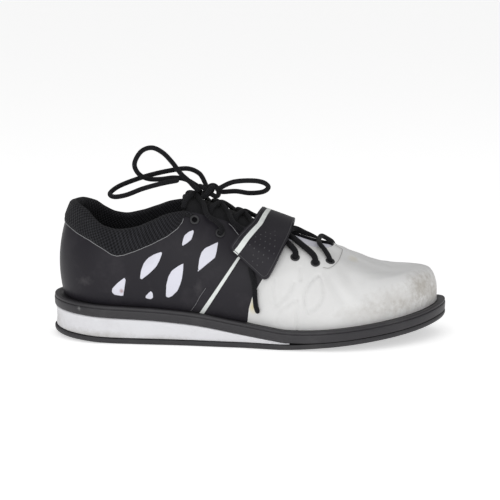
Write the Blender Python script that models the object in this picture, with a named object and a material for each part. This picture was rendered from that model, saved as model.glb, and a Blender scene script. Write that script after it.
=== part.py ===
"""Weightlifting shoe, right foot, standing empty on its sole.

Metres in Blender, worked out in millimetres.  +X points to the toe,
-Y to the outer side of the foot, +Z up.  The origin lies on the floor
under the middle of the sole.
"""
import bpy
import bmesh
import math
import numpy as np

for old in list(bpy.data.objects):
    bpy.data.objects.remove(old)

MM = 0.001
HALF_LENGTH = 146.0        # half of the outsole's length
OUTSOLE = 3.8              # thickness of the rubber under the wedge
BAND = 8.7                 # height of the black band above wedge or outsole
GAP = 0.3                  # space left between neighbouring pieces
WALL = 2.0                 # thickness of the upper's material
COLLAR_WALL = 5.6          # thickness of the padded collar
LEDGE = 6.4                # how far the band stands out beside the upper
LACE = 3.6                 # diameter of the round lace
AROUND = 84                # columns of the upper around the foot
RISE = 12                  # rows of the upper from sole to top line

# Plan of the sole.  Share of length from the heel, middle line and half
# width in millimetres; the ends are rounded off by sole_edge.
SOLE_COLUMNS = ("share", "middle", "half")
SOLE_PLAN = (
    (0.00, 0.0, 39.0),
    (0.14, 0.0, 41.5),
    (0.25, -1.0, 42.0),
    (0.36, -3.5, 41.0),
    (0.47, -6.0, 41.5),
    (0.57, -6.5, 45.5),
    (0.66, -4.0, 51.0),
    (0.74, -0.5, 54.0),
    (0.82, 3.5, 54.5),
    (0.90, 8.0, 53.0),
    (1.00, 14.0, 50.0),
)
HEEL_ROUND = 0.14          # share of length taken by the round heel
TOE_ROUND = 0.30           # share of length taken by the round toe
SOLE_MIDDLE = -0.4         # moves the outline's middle onto the origin

# Height of the sole's underside above the floor: toe spring and heel bevel.
SPRING_COLUMNS = ("x", "height")
SPRING = (
    (-146.0, 3.1), (-132.0, 1.9), (-118.0, 1.1), (-106.0, 0.4), (-94.0, 0.0),
    (24.0, 0.0), (34.0, 0.4), (44.0, 1.1), (54.0, 2.0), (66.0, 3.1),
    (80.0, 4.5), (95.0, 6.2), (110.0, 7.9), (120.0, 9.3), (130.0, 11.0),
    (138.0, 12.8), (146.0, 14.8),
)

# Thickness of the pale wedge.
WEDGE_COLUMNS = ("x", "thickness")
WEDGE = (
    (-146.0, 15.0), (-110.0, 14.8), (-75.0, 14.0), (-37.0, 11.2),
    (0.0, 5.4), (18.0, 2.8), (33.0, 0.9), (60.0, 0.0), (146.0, 0.0),
)
WEDGE_END = 33.0

# Top line of the upper, from the throat's front along the outer side to
# the heel.  Angle around the sole in degrees, then the place of the top
# edge, how far the wall has swept over by then, its fullness and bulge.
TOP_COLUMNS = ("around", "x", "y", "z", "sweep", "full", "bulge")
TOP = (
    (0.0, 63.0, 3.0, 68.6, 80.0, 2.3, 0.0),
    (20.0, 62.2, -3.0, 68.5, 80.0, 2.3, 0.0),
    (40.0, 58.0, -9.0, 68.4, 80.0, 2.3, 0.5),
    (55.0, 49.5, -12.5, 69.4, 78.0, 2.2, 1.0),
    (68.0, 36.0, -15.5, 73.0, 72.0, 2.1, 1.5),
    (80.0, 17.0, -17.5, 79.2, 66.0, 2.0, 2.0),
    (92.0, -6.0, -19.5, 86.4, 60.0, 2.0, 2.0),
    (103.0, -29.0, -22.5, 93.2, 54.0, 2.0, 2.0),
    (111.0, -47.0, -26.0, 97.0, 48.0, 2.0, 2.0),
    (117.0, -58.0, -29.5, 95.2, 44.0, 2.0, 2.5),
    (123.0, -68.0, -32.5, 91.0, 38.0, 2.0, 3.0),
    (130.0, -80.0, -35.0, 86.4, 34.0, 2.0, 3.0),
    (137.0, -92.0, -35.5, 84.6, 30.0, 2.0, 3.0),
    (145.0, -103.5, -33.5, 86.6, 28.0, 2.0, 3.2),
    (153.0, -111.5, -29.0, 92.0, 27.0, 2.0, 3.6),
    (161.0, -118.0, -23.0, 98.6, 26.0, 2.0, 4.0),
    (170.0, -126.5, -13.5, 102.6, 25.0, 2.0, 4.4),
    (180.0, -130.5, 0.0, 103.2, 25.0, 2.0, 4.5),
)
# The inner side's own place of the top line where it differs: added to
# the mirrored outer side.
INNER_COLUMNS = ("around", "x", "y", "z")
INNER = (
    (0.0, 0.0, 6.0, 0.0), (40.0, 0.0, 5.0, 0.5), (80.0, -2.0, 2.0, 1.0),
    (111.0, -2.0, 0.0, 1.0), (130.0, -4.0, 0.0, 1.5), (145.0, 0.0, 0.0, 0.5),
    (180.0, 0.0, 0.0, 0.0),
)
# Profile over the toe box from the sole's edge to the throat's front:
# share of the way, of the run back and of the rise.
TOE_COLUMNS = ("way", "back", "up")
TOE = (
    (0.0, 0.0, 0.0), (0.09, 0.0, 0.22), (0.18, 0.025, 0.43),
    (0.27, 0.085, 0.57), (0.38, 0.19, 0.60), (0.50, 0.31, 0.565),
    (0.60, 0.41, 0.56), (0.70, 0.53, 0.61), (0.80, 0.66, 0.69),
    (0.90, 0.82, 0.82), (1.0, 1.0, 1.0),
)
TOE_FROM, TOE_TO = 12.0, 66.0      # degrees over which that profile fades


def smooth(low, high, value):
    """Ease from 0 to 1 between low and high."""
    t = np.clip((np.asarray(value, float) - low) / (high - low), 0.0, 1.0)
    return t * t * (3.0 - 2.0 * t)


def through(rows, column, at, first=0):
    """Smooth monotone curve through one column of a table."""
    xs = np.array([r[first] for r in rows], float)
    ys = np.array([r[column] for r in rows], float)
    at = np.clip(np.asarray(at, float), xs[0], xs[-1])
    h = np.diff(xs)
    d = np.diff(ys) / h
    m = np.zeros(len(xs))
    m[0], m[-1] = d[0], d[-1]
    for i in range(1, len(xs) - 1):
        if d[i - 1] * d[i] > 0.0:
            w1 = 2.0 * h[i] + h[i - 1]
            w2 = h[i] + 2.0 * h[i - 1]
            m[i] = (w1 + w2) / (w1 / d[i - 1] + w2 / d[i])
    k = np.clip(np.searchsorted(xs, at, side="right") - 1, 0, len(h) - 1)
    t = (at - xs[k]) / h[k]
    return ((2 * t ** 3 - 3 * t ** 2 + 1) * ys[k]
            + (t ** 3 - 2 * t ** 2 + t) * h[k] * m[k]
            + (-2 * t ** 3 + 3 * t ** 2) * ys[k + 1]
            + (t ** 3 - t ** 2) * h[k] * m[k + 1])


def spring(x):
    return through(SPRING, 1, x)


def wedge_thickness(x):
    return through(WEDGE, 1, x)


def wedge_floor(x):
    return spring(x) + OUTSOLE + GAP


def band_floor(x):
    """Underside of the black band: on the wedge, then on the outsole."""
    t = wedge_thickness(x)
    return wedge_floor(x) + t + GAP * np.clip(t / 0.9, 0.0, 1.0)


def ledge_height(x):
    return band_floor(x) + BAND


def sole_edge(around, inset=0.0):
    """Point of the sole's plan at an angle in degrees, 0 at the toe and
    90 on the outer side, moved inwards by inset."""
    def raw(a):
        c = np.cos(np.radians(a))
        share = (1.0 + c) / 2.0
        side = np.where(np.sin(np.radians(a)) >= 0.0, -1.0, 1.0)
        heel = np.clip(1.0 - share / HEEL_ROUND, 0.0, 1.0)
        toe = np.clip(1.0 - (1.0 - share) / TOE_ROUND, 0.0, 1.0)
        close = np.sqrt(np.maximum(1.0 - heel ** 2, 0.0)) \
            * np.sqrt(np.maximum(1.0 - toe ** 2.2, 0.0))
        half = through(SOLE_PLAN, 2, share) * close
        middle = through(SOLE_PLAN, 1, share)
        return HALF_LENGTH * c, middle + side * half - SOLE_MIDDLE
    a = np.asarray(around, float)
    x, y = raw(a)
    step = 0.6
    x1, y1 = raw(a + step)
    x0, y0 = raw(a - step)
    tx, ty = x1 - x0, y1 - y0
    size = np.hypot(tx, ty)
    # the outline runs toe, outer side, heel, inner side, so its inward
    # normal is the tangent turned to the right
    return x + inset * ty / size, y - inset * tx / size


def fold(around):
    """Angle on the outer side that matches one on the inner side."""
    a = np.mod(np.asarray(around, float), 360.0)
    return np.where(a > 180.0, 360.0 - a, a), a > 180.0


def top_line(around):
    a, inner = fold(around)
    x = through(TOP, 1, a) + np.where(inner, through(INNER, 1, a), 0.0)
    y = through(TOP, 2, a)
    y = np.where(inner, -y + through(INNER, 2, a), y)
    z = through(TOP, 3, a) + np.where(inner, through(INNER, 3, a), 0.0)
    return x, y, z


def skin(around, rise):
    """Outer face of the upper: angle around in degrees, share of the way
    from the sole's edge to the top line."""
    around = np.asarray(around, float)
    rise = np.asarray(rise, float)
    around, rise = np.broadcast_arrays(around, rise)
    a, inner = fold(around)
    fx, fy = sole_edge(around, LEDGE)
    fz = ledge_height(fx) - 0.2
    tx, ty, tz = top_line(around)
    sweep = np.radians(through(TOP, 4, a))
    full = 2.0 / through(TOP, 5, a)
    turn = rise * sweep
    back = (1.0 - np.cos(turn) ** full) / (1.0 - np.cos(sweep) ** full)
    up = np.sin(turn) ** full / np.sin(sweep) ** full
    toe = 1.0 - smooth(TOE_FROM, TOE_TO, a)
    back = back + (through(TOE, 1, rise) - back) * toe
    up = up + (through(TOE, 2, rise) - up) * toe
    bulge = through(TOP, 6, a) * 4.0 * rise * (1.0 - rise)
    ox, oy = sole_edge(around, LEDGE - 1.0)
    ox, oy = ox - fx, oy - fy
    x = fx + (tx - fx) * back + ox * bulge
    y = fy + (ty - fy) * back + oy * bulge
    z = fz + (tz - fz) * up
    return np.stack([x, y, z], axis=-1)


def skin_normal(around, rise):
    """Outward normal of that face."""
    around = np.asarray(around, float)
    rise = np.asarray(rise, float)
    da, dr = 1.0, 0.01
    lo, hi = np.clip(rise - dr, 0.0, 1.0), np.clip(rise + dr, 0.0, 1.0)
    t = skin(around + da, rise) - skin(around - da, rise)
    u = skin(around, hi) - skin(around, lo)
    n = np.cross(u, t)
    return n / np.linalg.norm(n, axis=-1, keepdims=True)


def wall(around, rise):
    """Thickness of the upper: thin everywhere, padded at the collar."""
    a, inner = fold(around)
    pad = smooth(104.0, 124.0, a) * smooth(0.55, 0.85, rise)
    return WALL + (COLLAR_WALL - WALL) * pad


def inside(around, rise, extra=0.0):
    """Inner face of the upper, or a face further in by extra."""
    depth = wall(around, rise) + extra
    n = skin_normal(around, rise)
    return skin(around, rise) - n * depth[..., None]


def outside(around, rise, extra):
    return skin(around, rise) + skin_normal(around, rise) * extra


def locate(x, z, inner=False, over=0.0):
    """Angle and rise of the outer face at a length and a height."""
    a = np.linspace(4.0, 176.0, 87)
    if inner:
        a = 360.0 - a
    r = np.linspace(0.02, 0.98, 49)
    aa, rr = np.meshgrid(a, r, indexing="ij")
    p = skin(aa, rr)
    d = (p[..., 0] - x) ** 2 + (p[..., 2] - z) ** 2
    i, j = np.unravel_index(np.argmin(d), d.shape)
    at, up = aa[i, j], rr[i, j]
    for _ in range(8):
        q = skin(at, up)
        da = (skin(at + 0.1, up) - q) / 0.1
        dr = (skin(at, up + 0.001) - q) / 0.001
        m = np.array([[da[0], dr[0]], [da[2], dr[2]]])
        if abs(np.linalg.det(m)) < 1e-6:
            break
        move = np.linalg.solve(m, np.array([x - q[0], z - q[2]]))
        at = at + float(np.clip(move[0], -3.0, 3.0))
        up = float(np.clip(up + np.clip(move[1], -0.05, 0.05), 0.01, 0.99))
    return float(at), up


# Materials of the maker's pieces, one to a slot.
COLOURS = {
    "black_rubber": (0.03, 0.03, 0.033, 1.0),
    "pale_wedge": (0.74, 0.74, 0.80, 1.0),
    "black_synthetic": (0.035, 0.033, 0.04, 1.0),
    "black_textile": (0.02, 0.02, 0.022, 1.0),
    "black_lace": (0.015, 0.015, 0.017, 1.0),
}


def material(name):
    mat = bpy.data.materials.get(name)
    if mat is None:
        mat = bpy.data.materials.new(name)
        mat.diffuse_color = COLOURS[name]
    return mat


def mesh_object(name, points, faces, slot):
    """One object from points in millimetres, normals made to face out."""
    mesh = bpy.data.meshes.new(name)
    mesh.from_pydata([tuple(float(c) * MM for c in p) for p in points], [],
                     faces)
    bm = bmesh.new()
    bm.from_mesh(mesh)
    bmesh.ops.remove_doubles(bm, verts=bm.verts, dist=0.00001)
    bmesh.ops.recalc_face_normals(bm, faces=bm.faces)
    if bm.calc_volume(signed=True) < 0.0:
        bmesh.ops.reverse_faces(bm, faces=bm.faces)
    bm.to_mesh(mesh)
    bm.free()
    obj = bpy.data.objects.new(name, mesh)
    bpy.context.scene.collection.objects.link(obj)
    obj.data.materials.append(material(slot))
    return obj


def slab(name, angles, lower, upper_rings, slot, columns=2, closed=True):
    """Solid between a lower and an upper cap, joined by rings.

    Every ring is a function of the angle giving x, y, z.  The caps are
    strips that cross from the outer to the inner side, so they follow
    the curve of the sole along its length."""
    rings = [lower] + upper_rings
    points, faces = [], []
    count = len(angles)
    for ring in rings:
        points += [tuple(p) for p in ring(angles)]
    for k in range(len(rings) - 1):
        for i in range(count if closed else count - 1):
            j = (i + 1) % count
            faces.append((k * count + i, k * count + j,
                          (k + 1) * count + j, (k + 1) * count + i))
    if not closed:
        faces.append(tuple(k * count for k in range(len(rings)))
                     + tuple(k * count + count - 1
                             for k in reversed(range(len(rings)))))

    def cap(level):
        """Strips between point i and its partner across the sole."""
        base = level * count
        rows = []
        half = count // 2
        for i in range(half + 1):
            j = (count - i) % count if closed else count - 1 - i
            if closed and (i == 0 or i == half):
                rows.append([base + i])
                continue
            if not closed and i == j:
                rows.append([base + i])
                continue
            if not closed and j < i:
                break
            a, b = np.array(points[base + i]), np.array(points[base + j])
            row = [base + i]
            for c in range(1, columns):
                points.append(tuple(a + (b - a) * c / columns))
                row.append(len(points) - 1)
            row.append(base + j)
            rows.append(row)
        for p, q in zip(rows, rows[1:]):
            if len(p) == 1:
                for c in range(len(q) - 1):
                    faces.append((p[0], q[c], q[c + 1]))
            elif len(q) == 1:
                for c in range(len(p) - 1):
                    faces.append((p[c], p[c + 1], q[0]))
            else:
                for c in range(len(p) - 1):
                    faces.append((p[c], p[c + 1], q[c + 1], q[c]))
        return rows[0]
    if closed:
        cap(0)
        cap(len(rings) - 1)
    else:
        first_low = cap(0)
        first_top = cap(len(rings) - 1)
        faces.pop(count * 0 + (len(rings) - 1) * (count - 1))
        side_a = [k * count for k in range(len(rings))]
        side_b = [k * count + count - 1 for k in range(len(rings))]
        faces.append(tuple(side_a) + tuple(first_top[1:-1])
                     + tuple(reversed(side_b)) + tuple(
                         reversed(first_low[1:-1])))
    return mesh_object(name, points, faces, slot)


def ring_at(inset, height):
    """Ring of the sole's plan at an inset, its height a function of x."""
    def ring(angles):
        x, y = sole_edge(angles, inset)
        return np.stack([x, y, height(x)], axis=-1)
    return ring


def difference(obj, cutter):
    mod = obj.modifiers.new("cut", "BOOLEAN")
    mod.operation = "DIFFERENCE"
    mod.solver = "EXACT"
    mod.object = cutter
    cutter.hide_render = True
    cutter.display_type = "WIRE"


def joined_mesh(name, parts):
    """Several closed shells in one cutter."""
    points, faces = [], []
    for pts, fcs in parts:
        base = len(points)
        points += list(pts)
        faces += [tuple(base + i for i in f) for f in fcs]
    obj = mesh_object(name, points, faces, "black_rubber")
    return obj


def box_shell(centre, size, turn):
    """Corners and faces of a box turned about the vertical."""
    c, s = math.cos(turn), math.sin(turn)
    pts = []
    for dz in (-0.5, 0.5):
        for dx, dy in ((-0.5, -0.5), (0.5, -0.5), (0.5, 0.5), (-0.5, 0.5)):
            x, y = dx * size[0], dy * size[1]
            pts.append((centre[0] + c * x - s * y, centre[1] + s * x + c * y,
                        centre[2] + dz * size[2]))
    fcs = [(3, 2, 1, 0), (4, 5, 6, 7), (0, 1, 5, 4), (1, 2, 6, 5),
           (2, 3, 7, 6), (3, 0, 4, 7)]
    return pts, fcs


ANGLES = np.arange(AROUND) * 360.0 / AROUND


def build_outsole():
    top = lambda x: spring(x) + OUTSOLE
    sole = slab("outsole", ANGLES,
                ring_at(1.9, spring),
                [ring_at(0.5, lambda x: spring(x) + 0.9),
                 ring_at(0.0, lambda x: spring(x) + 2.2),
                 ring_at(0.3, top)], "black_rubber", columns=4)
    # shallow grooves across the tread, in two fields
    grooves = []
    for x, turn in [(-112.0, 0.0), (-98.0, 0.0), (-84.0, 0.0), (-70.0, 0.0),
                    (20.0, 0.18), (34.0, 0.18), (49.0, 0.20), (64.0, 0.22),
                    (79.0, 0.24), (94.0, 0.26), (109.0, 0.28)]:
        level = float(spring(x))
        grooves.append(box_shell((x, 0.0, level - 1.0), (2.6, 130.0, 4.4),
                                 turn))
    difference(sole, joined_mesh("tread_cutter", grooves))
    return sole


def build_wedge():
    front = math.degrees(math.acos(WEDGE_END / HALF_LENGTH))
    angles = np.linspace(front, 360.0 - front, 63)
    top = lambda x: wedge_floor(x) + wedge_thickness(x)
    mid = lambda x: wedge_floor(x) + wedge_thickness(x) * 0.5
    return slab("heel_wedge", angles, ring_at(1.6, wedge_floor),
                [ring_at(1.3, mid), ring_at(0.9, top)], "pale_wedge",
                columns=2, closed=False)


def build_midsole():
    def level(share, lift=0.0):
        return lambda x: band_floor(x) + BAND * share + lift
    return slab("midsole", ANGLES, ring_at(1.5, level(0.0)),
                [ring_at(0.5, level(0.10)), ring_at(0.0, level(0.45)),
                 ring_at(0.4, level(0.74)), ring_at(1.0, level(0.98)),
                 ring_at(2.0, level(1.0, 0.7)), ring_at(3.2, level(1.0, 0.5)),
                 ring_at(4.3, level(1.0, -0.5)),
                 ring_at(9.2, level(1.0, -0.5))], "black_rubber", columns=2)


# Eyelets: angle around the sole and rise of each on the outer side.
EYELET_COLUMNS = ("around", "rise")
EYELETS = ((57.0, 0.73), (65.0, 0.68), (72.5, 0.73), (81.0, 0.78),
           (89.5, 0.80), (98.0, 0.82), (106.5, 0.91))
EYELET_HOLE = 4.4


def eyelet_places(inner):
    return [(360.0 - a if inner else a, r) for a, r in EYELETS]


# Petal windows in the rear panel: ends of the petal and the swell of its
# two sides, as length and height on the side of the shoe.
WINDOW_COLUMNS = ("low_x", "low_z", "high_x", "high_z", "swell")
WINDOWS = (
    (-47.0, 71.5, -38.3, 83.0, 3.1),
    (-34.6, 54.3, -20.0, 74.8, 4.5),
    (-77.6, 46.8, -60.0, 68.8, 4.5),
    (-58.0, 33.0, -45.0, 60.0, 5.6),
    (-98.5, 35.0, -87.0, 48.0, 4.2),
    (-72.5, 31.8, -67.0, 40.0, 2.8),
)
WINDOW_DEPTH = 0.8


def petal(low_x, low_z, high_x, high_z, swell, count=6):
    """Outline of a leaf with two pointed ends in length and height."""
    low, high = np.array([low_x, low_z]), np.array([high_x, high_z])
    along = high - low
    side = np.array([-along[1], along[0]]) / np.hypot(*along)
    t = np.linspace(0.0, 1.0, count)
    bow = np.sin(np.pi * t) ** 0.85 * swell
    one = low + along * t[:, None] + side * bow[:, None]
    two = low + along * t[:, None] - side * bow[:, None]
    return np.vstack([one, two[-2:0:-1]])


def prism(base, top):
    """Closed shell between two loops of the same number of points."""
    n = len(base)
    pts = [tuple(p) for p in base] + [tuple(p) for p in top]
    fcs = [tuple(range(n))[::-1], tuple(range(n, 2 * n))]
    fcs += [(i, (i + 1) % n, n + (i + 1) % n, n + i) for i in range(n)]
    return pts, fcs


def window_shells():
    shells = []
    for row in WINDOWS:
        for inner in (False, True):
            marks = [locate(x, z, inner) for x, z in petal(*row)]
            at = np.array([m[0] for m in marks])
            up = np.array([m[1] for m in marks])
            shells.append(prism(outside(at, up, -WINDOW_DEPTH),
                                outside(at, up, 1.6)))
    return shells


def eyelet_shells():
    shells = []
    for inner in (False, True):
        for at, up in eyelet_places(inner):
            mid = skin(at, up)
            n = skin_normal(at, up)
            u = np.cross(n, (0.0, 0.0, 1.0))
            u = u / np.linalg.norm(u)
            v = np.cross(n, u)
            turn = np.radians(np.arange(10) * 36.0)
            disc = (np.cos(turn)[:, None] * u + np.sin(turn)[:, None] * v) \
                * EYELET_HOLE / 2.0
            shells.append(prism(mid + disc - n * 4.0, mid + disc + n * 2.0))
    return shells


def build_upper():
    rise = np.linspace(0.0, 1.0, RISE + 1)
    aa, rr = np.meshgrid(ANGLES, rise, indexing="ij")
    outer = skin(aa, rr)
    inner = inside(aa, rr)
    # the foot of the wall stands upright on the ledge
    fx, fy = sole_edge(ANGLES, LEDGE + WALL)
    inner[:, 0, 0], inner[:, 0, 1] = fx, fy
    inner[:, 0, 2] = ledge_height(fx) - 0.2
    inner[:, 1, 2] = np.maximum(inner[:, 1, 2], inner[:, 0, 2] + 0.8)
    crown = (outer[:, -1] + inner[:, -1]) / 2.0
    up = skin(ANGLES, 1.0) - skin(ANGLES, 0.97)
    up = up / np.linalg.norm(up, axis=-1, keepdims=True)
    crown = crown + up * (wall(ANGLES, np.ones(AROUND)) * 0.38)[:, None]
    loops = [outer[:, k] for k in range(RISE + 1)] + [crown] \
        + [inner[:, k] for k in range(RISE, -1, -1)]
    points = [tuple(p) for loop in loops for p in loop]
    faces = []
    n = len(loops)
    for k in range(n):
        k2 = (k + 1) % n
        for i in range(AROUND):
            j = (i + 1) % AROUND
            faces.append((k * AROUND + i, k * AROUND + j,
                          k2 * AROUND + j, k2 * AROUND + i))
    upper = mesh_object("upper", points, faces, "black_synthetic")
    difference(upper, joined_mesh("window_cutter", window_shells()))
    difference(upper, joined_mesh("eyelet_cutter", eyelet_shells()))
    return upper


def build_insole():
    def floor(x):
        return ledge_height(x) - 0.2
    def ring(inset, lift):
        return ring_at(inset, lambda x: floor(x) + lift)
    return slab("insole", ANGLES[::2], ring(9.4, 0.0),
                [ring(9.4, 2.2), ring(10.6, 4.0), ring(14.0, 4.0)],
                "black_textile", columns=4)


# The tongue, a row for each station: angle of the throat's edge beside
# it, rise at its middle and at its wings, and how far the middle stands
# above the chord between the two edges.
TONGUE_COLUMNS = ("around", "middle", "wing", "dome")
TONGUE = (
    (16.0, 0.86, 0.76, 0.0), (18.0, 0.93, 0.80, 0.0), (24.0, 1.0, 0.85, 0.6),
    (40.0, 1.0, 0.85, 1.2), (55.0, 1.0, 0.83, 1.8), (66.0, 1.0, 0.82, 2.4),
    (74.0, 1.0, 0.82, 3.2), (82.0, 1.0, 0.82, 4.6), (90.0, 1.0, 0.82, 5.6),
    (98.0, 1.0, 0.83, 6.4), (105.0, 1.0, 0.84, 7.4), (110.0, 1.0, 0.86, 8.2),
)
# Rows of the tongue above the collar: shift from the last row above, and
# share of its width.
TONGUE_TOP_COLUMNS = ("x", "z", "width")
TONGUE_TOP = ((-3.2, 3.4, 0.84), (-6.0, 6.2, 0.76), (-7.6, 7.8, 0.63),
              (-8.2, 8.4, 0.43))
TONGUE_THICK = 4.6
UNDER = 0.5                # space between the tongue and the upper


def tongue_row(around, middle, wing, dome):
    """Top face of the tongue across one station, 11 points."""
    out, back = [], []
    for share in (1.0, 0.66, 0.33):
        r = middle + (wing - middle) * share
        out.append(inside(around, r, UNDER))
        back.append(inside(360.0 - around, r, UNDER))
    a, b = inside(around, middle, UNDER), inside(360.0 - around, middle, UNDER)
    row = list(out)
    for c in (0.0, 0.25, 0.5, 0.75, 1.0):
        p = a + (b - a) * c
        p = p + np.array([0.0, 0.0, dome * (1.0 - (2.0 * c - 1.0) ** 2)])
        row.append(p)
    return np.array(row + back[::-1])


def tongue_face():
    rows = [tongue_row(*row) for row in TONGUE]
    last = rows[-1]
    mid = last.mean(axis=0)
    for dx, dz, width in TONGUE_TOP:
        row = last.copy()
        row[:, 1] = mid[1] + (last[:, 1] - mid[1]) * width
        row[:, 0] += dx
        # the wings rise with the middle, so the top edge is broad
        row[:, 2] += dz + (last[5, 2] - last[:, 2]) * min(1.0, dz / 8.0) * 0.7
        rows.append(row)
    return np.array(rows)


def sheet_solid(name, face, thick, slot):
    """Closed solid between a grid face and its copy moved inwards."""
    rows, cols = face.shape[:2]
    along = np.gradient(face, axis=0)
    across = np.gradient(face, axis=1)
    n = np.cross(along, across)
    n = n / np.maximum(np.linalg.norm(n, axis=-1, keepdims=True), 1e-9)
    if n[rows // 2, cols // 2, 2] < 0.0:
        n = -n
    under = face - n * thick[..., None]
    points = [tuple(p) for p in face.reshape(-1, 3)] \
        + [tuple(p) for p in under.reshape(-1, 3)]
    base = rows * cols
    faces = []
    for i in range(rows - 1):
        for j in range(cols - 1):
            a, b = i * cols + j, i * cols + j + 1
            c, d = a + cols + 1, a + cols
            faces.append((a, b, c, d))
            faces.append((base + d, base + c, base + b, base + a))
    edge = [(0, j) for j in range(cols)] \
        + [(i, cols - 1) for i in range(1, rows)] \
        + [(rows - 1, j) for j in range(cols - 2, -1, -1)] \
        + [(i, 0) for i in range(rows - 2, 0, -1)]
    for k, (i, j) in enumerate(edge):
        i2, j2 = edge[(k + 1) % len(edge)]
        a, b = i * cols + j, i2 * cols + j2
        faces.append((a, base + a, base + b, b))
    return mesh_object(name, points, faces, slot)


def build_tongue():
    face = tongue_face()
    rows, cols = face.shape[:2]
    share = np.abs(np.linspace(-1.0, 1.0, cols))
    thick = TONGUE_THICK - (TONGUE_THICK - 1.6) * share ** 2.2
    thick = np.repeat(thick[None, :], rows, axis=0)
    ends = np.array([0.45, 0.8] + [1.0] * (rows - 6)
                    + [1.0, 0.95, 0.75, 0.35])
    return sheet_solid("tongue", face, thick * ends[:, None],
                       "black_textile")


# The strap: its two long edges run from the flap's free end on the outer
# side over the instep to the sole on the inner side.  Each edge: angle
# and rise at the free end, angle at the throat's edge and its dome.
STRAP_COLUMNS = ("end_around", "end_rise", "edge_around", "dome")
STRAP = (
    (93.2, 0.665, 84.6, 7.0),      # edge towards the heel
    (83.2, 0.440, 70.8, 5.2),      # edge towards the toe
)
STRAP_THICK = 3.2
STRAP_LIFT = 5.2                   # clears the lace that runs below it
STRAP_FOOT = 0.055                 # rise where it meets the sole inside


def strap_edge(which, t):
    """Point of one long edge, t from 0 at the free end to 1 at the sole,
    on the strap's lower face."""
    around, rise, edge, dome = which
    slope = (around - edge) / (1.0 - rise)
    near = 0.7
    if t <= 0.36:
        r = rise + (1.0 - rise) * t / 0.36
        a = edge + slope * (1.0 - r)
        lift = near + (STRAP_LIFT - near) * smooth(rise - 0.02, 0.75, r)
        return outside(a, r, lift)
    if t >= 0.56:
        r = 1.0 + (STRAP_FOOT - 1.0) * (t - 0.56) / 0.44
        a = 360.0 - (edge + slope * (1.0 - r) * 0.8)
        lift = near + (STRAP_LIFT - near) * smooth(0.45, 0.72, r)
        return outside(a, r, lift)
    c = (t - 0.36) / 0.20
    p = outside(edge, 1.0, STRAP_LIFT)
    q = outside(360.0 - edge, 1.0, STRAP_LIFT)
    return p + (q - p) * c + np.array(
        [0.0, 0.0, dome * (1.0 - (2.0 * c - 1.0) ** 2)])


def strap_face(lift=0.0):
    stations = np.concatenate([np.linspace(0.0, 0.36, 8),
                               np.linspace(0.39, 0.53, 6),
                               np.linspace(0.56, 1.0, 9)])
    rows = []
    for t in stations:
        # five lines along the strap, each following the swell of the shoe
        rows.append([strap_edge(np.array(STRAP[0]) * (1.0 - w)
                                + np.array(STRAP[1]) * w, t)
                     for w in (0.0, 0.25, 0.5, 0.75, 1.0)])
    face = np.array(rows)
    # the free end has rounded corners
    for k, back in ((0, 0.62), (4, 0.62)):
        face[0, k] = face[0, k] + (face[1, k] - face[0, k]) * back
    for k, back in ((0, 0.10), (4, 0.10)):
        face[0, k] = face[0, k] + (face[0, 2] - face[0, k]) * back
    return face


def build_strap():
    lower = strap_face()
    along = np.gradient(lower, axis=0)
    across = np.gradient(lower, axis=1)
    n = np.cross(along, across)
    n = n / np.linalg.norm(n, axis=-1, keepdims=True)
    if n[10, 2, 2] < 0.0:
        n = -n
    upper = lower + n * STRAP_THICK
    thick = np.full(lower.shape[:2], STRAP_THICK)
    return sheet_solid("strap", upper, thick, "black_synthetic")


def tongue_middle(x):
    """Height of the tongue's top face along its middle."""
    line = tongue_face()[:, 5]
    order = np.argsort(line[:, 0])
    return float(np.interp(x, line[order, 0], line[order, 2]))


def smooth_path(points, count):
    """Evenly spread points on a smooth curve through chosen points."""
    pts = np.array(points, float)
    ext = np.vstack([2 * pts[0] - pts[1], pts, 2 * pts[-1] - pts[-2]])
    fine = []
    for i in range(len(pts) - 1):
        p0, p1, p2, p3 = ext[i:i + 4]
        for t in np.linspace(0.0, 1.0, 24, endpoint=False):
            fine.append(0.5 * ((2 * p1) + (p2 - p0) * t
                               + (2 * p0 - 5 * p1 + 4 * p2 - p3) * t ** 2
                               + (3 * p1 - p0 - 3 * p2 + p3) * t ** 3))
    fine = np.array(fine + [pts[-1]])
    run = np.concatenate([[0.0], np.cumsum(
        np.linalg.norm(np.diff(fine, axis=0), axis=1))])
    want = np.linspace(0.0, run[-1], count)
    return np.stack([np.interp(want, run, fine[:, k]) for k in range(3)], 1)


def round_shell(path, radius, sides=8):
    """Closed tube along a path, its ends capped."""
    path = np.array(path, float)
    tan = np.gradient(path, axis=0)
    tan = tan / np.linalg.norm(tan, axis=1, keepdims=True)
    up = np.array([1.0, 0.0, 0.0])
    pts, fcs = [], []
    for p, t in zip(path, tan):
        u = up - t * np.dot(up, t)
        u = u / np.linalg.norm(u)
        v = np.cross(t, u)
        for k in range(sides):
            a = 2.0 * math.pi * k / sides
            pts.append(tuple(p + (math.cos(a) * u + math.sin(a) * v)
                             * radius))
    n = len(path)
    for i in range(n - 1):
        for k in range(sides):
            k2 = (k + 1) % sides
            fcs.append((i * sides + k, i * sides + k2,
                        (i + 1) * sides + k2, (i + 1) * sides + k))
    fcs.append(tuple(range(sides))[::-1])
    fcs.append(tuple((n - 1) * sides + k for k in range(sides)))
    return pts, fcs


CLEAR = LACE / 2.0 + 0.45      # from a face to the middle of a lace on it


def over_throat(a0, share, lift=0.0):
    """Point in the throat beside the edge at an angle, a share of the way
    across from the outer to the inner edge."""
    p, q = inside(a0, 1.0, UNDER), inside(360.0 - a0, 1.0, UNDER)
    at = p + (q - p) * share
    rise = np.interp(a0, [r[0] for r in TONGUE], [r[3] for r in TONGUE])
    at[2] += rise * (1.0 - (2.0 * share - 1.0) ** 2) + CLEAR + 0.15 + lift
    return at


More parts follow.
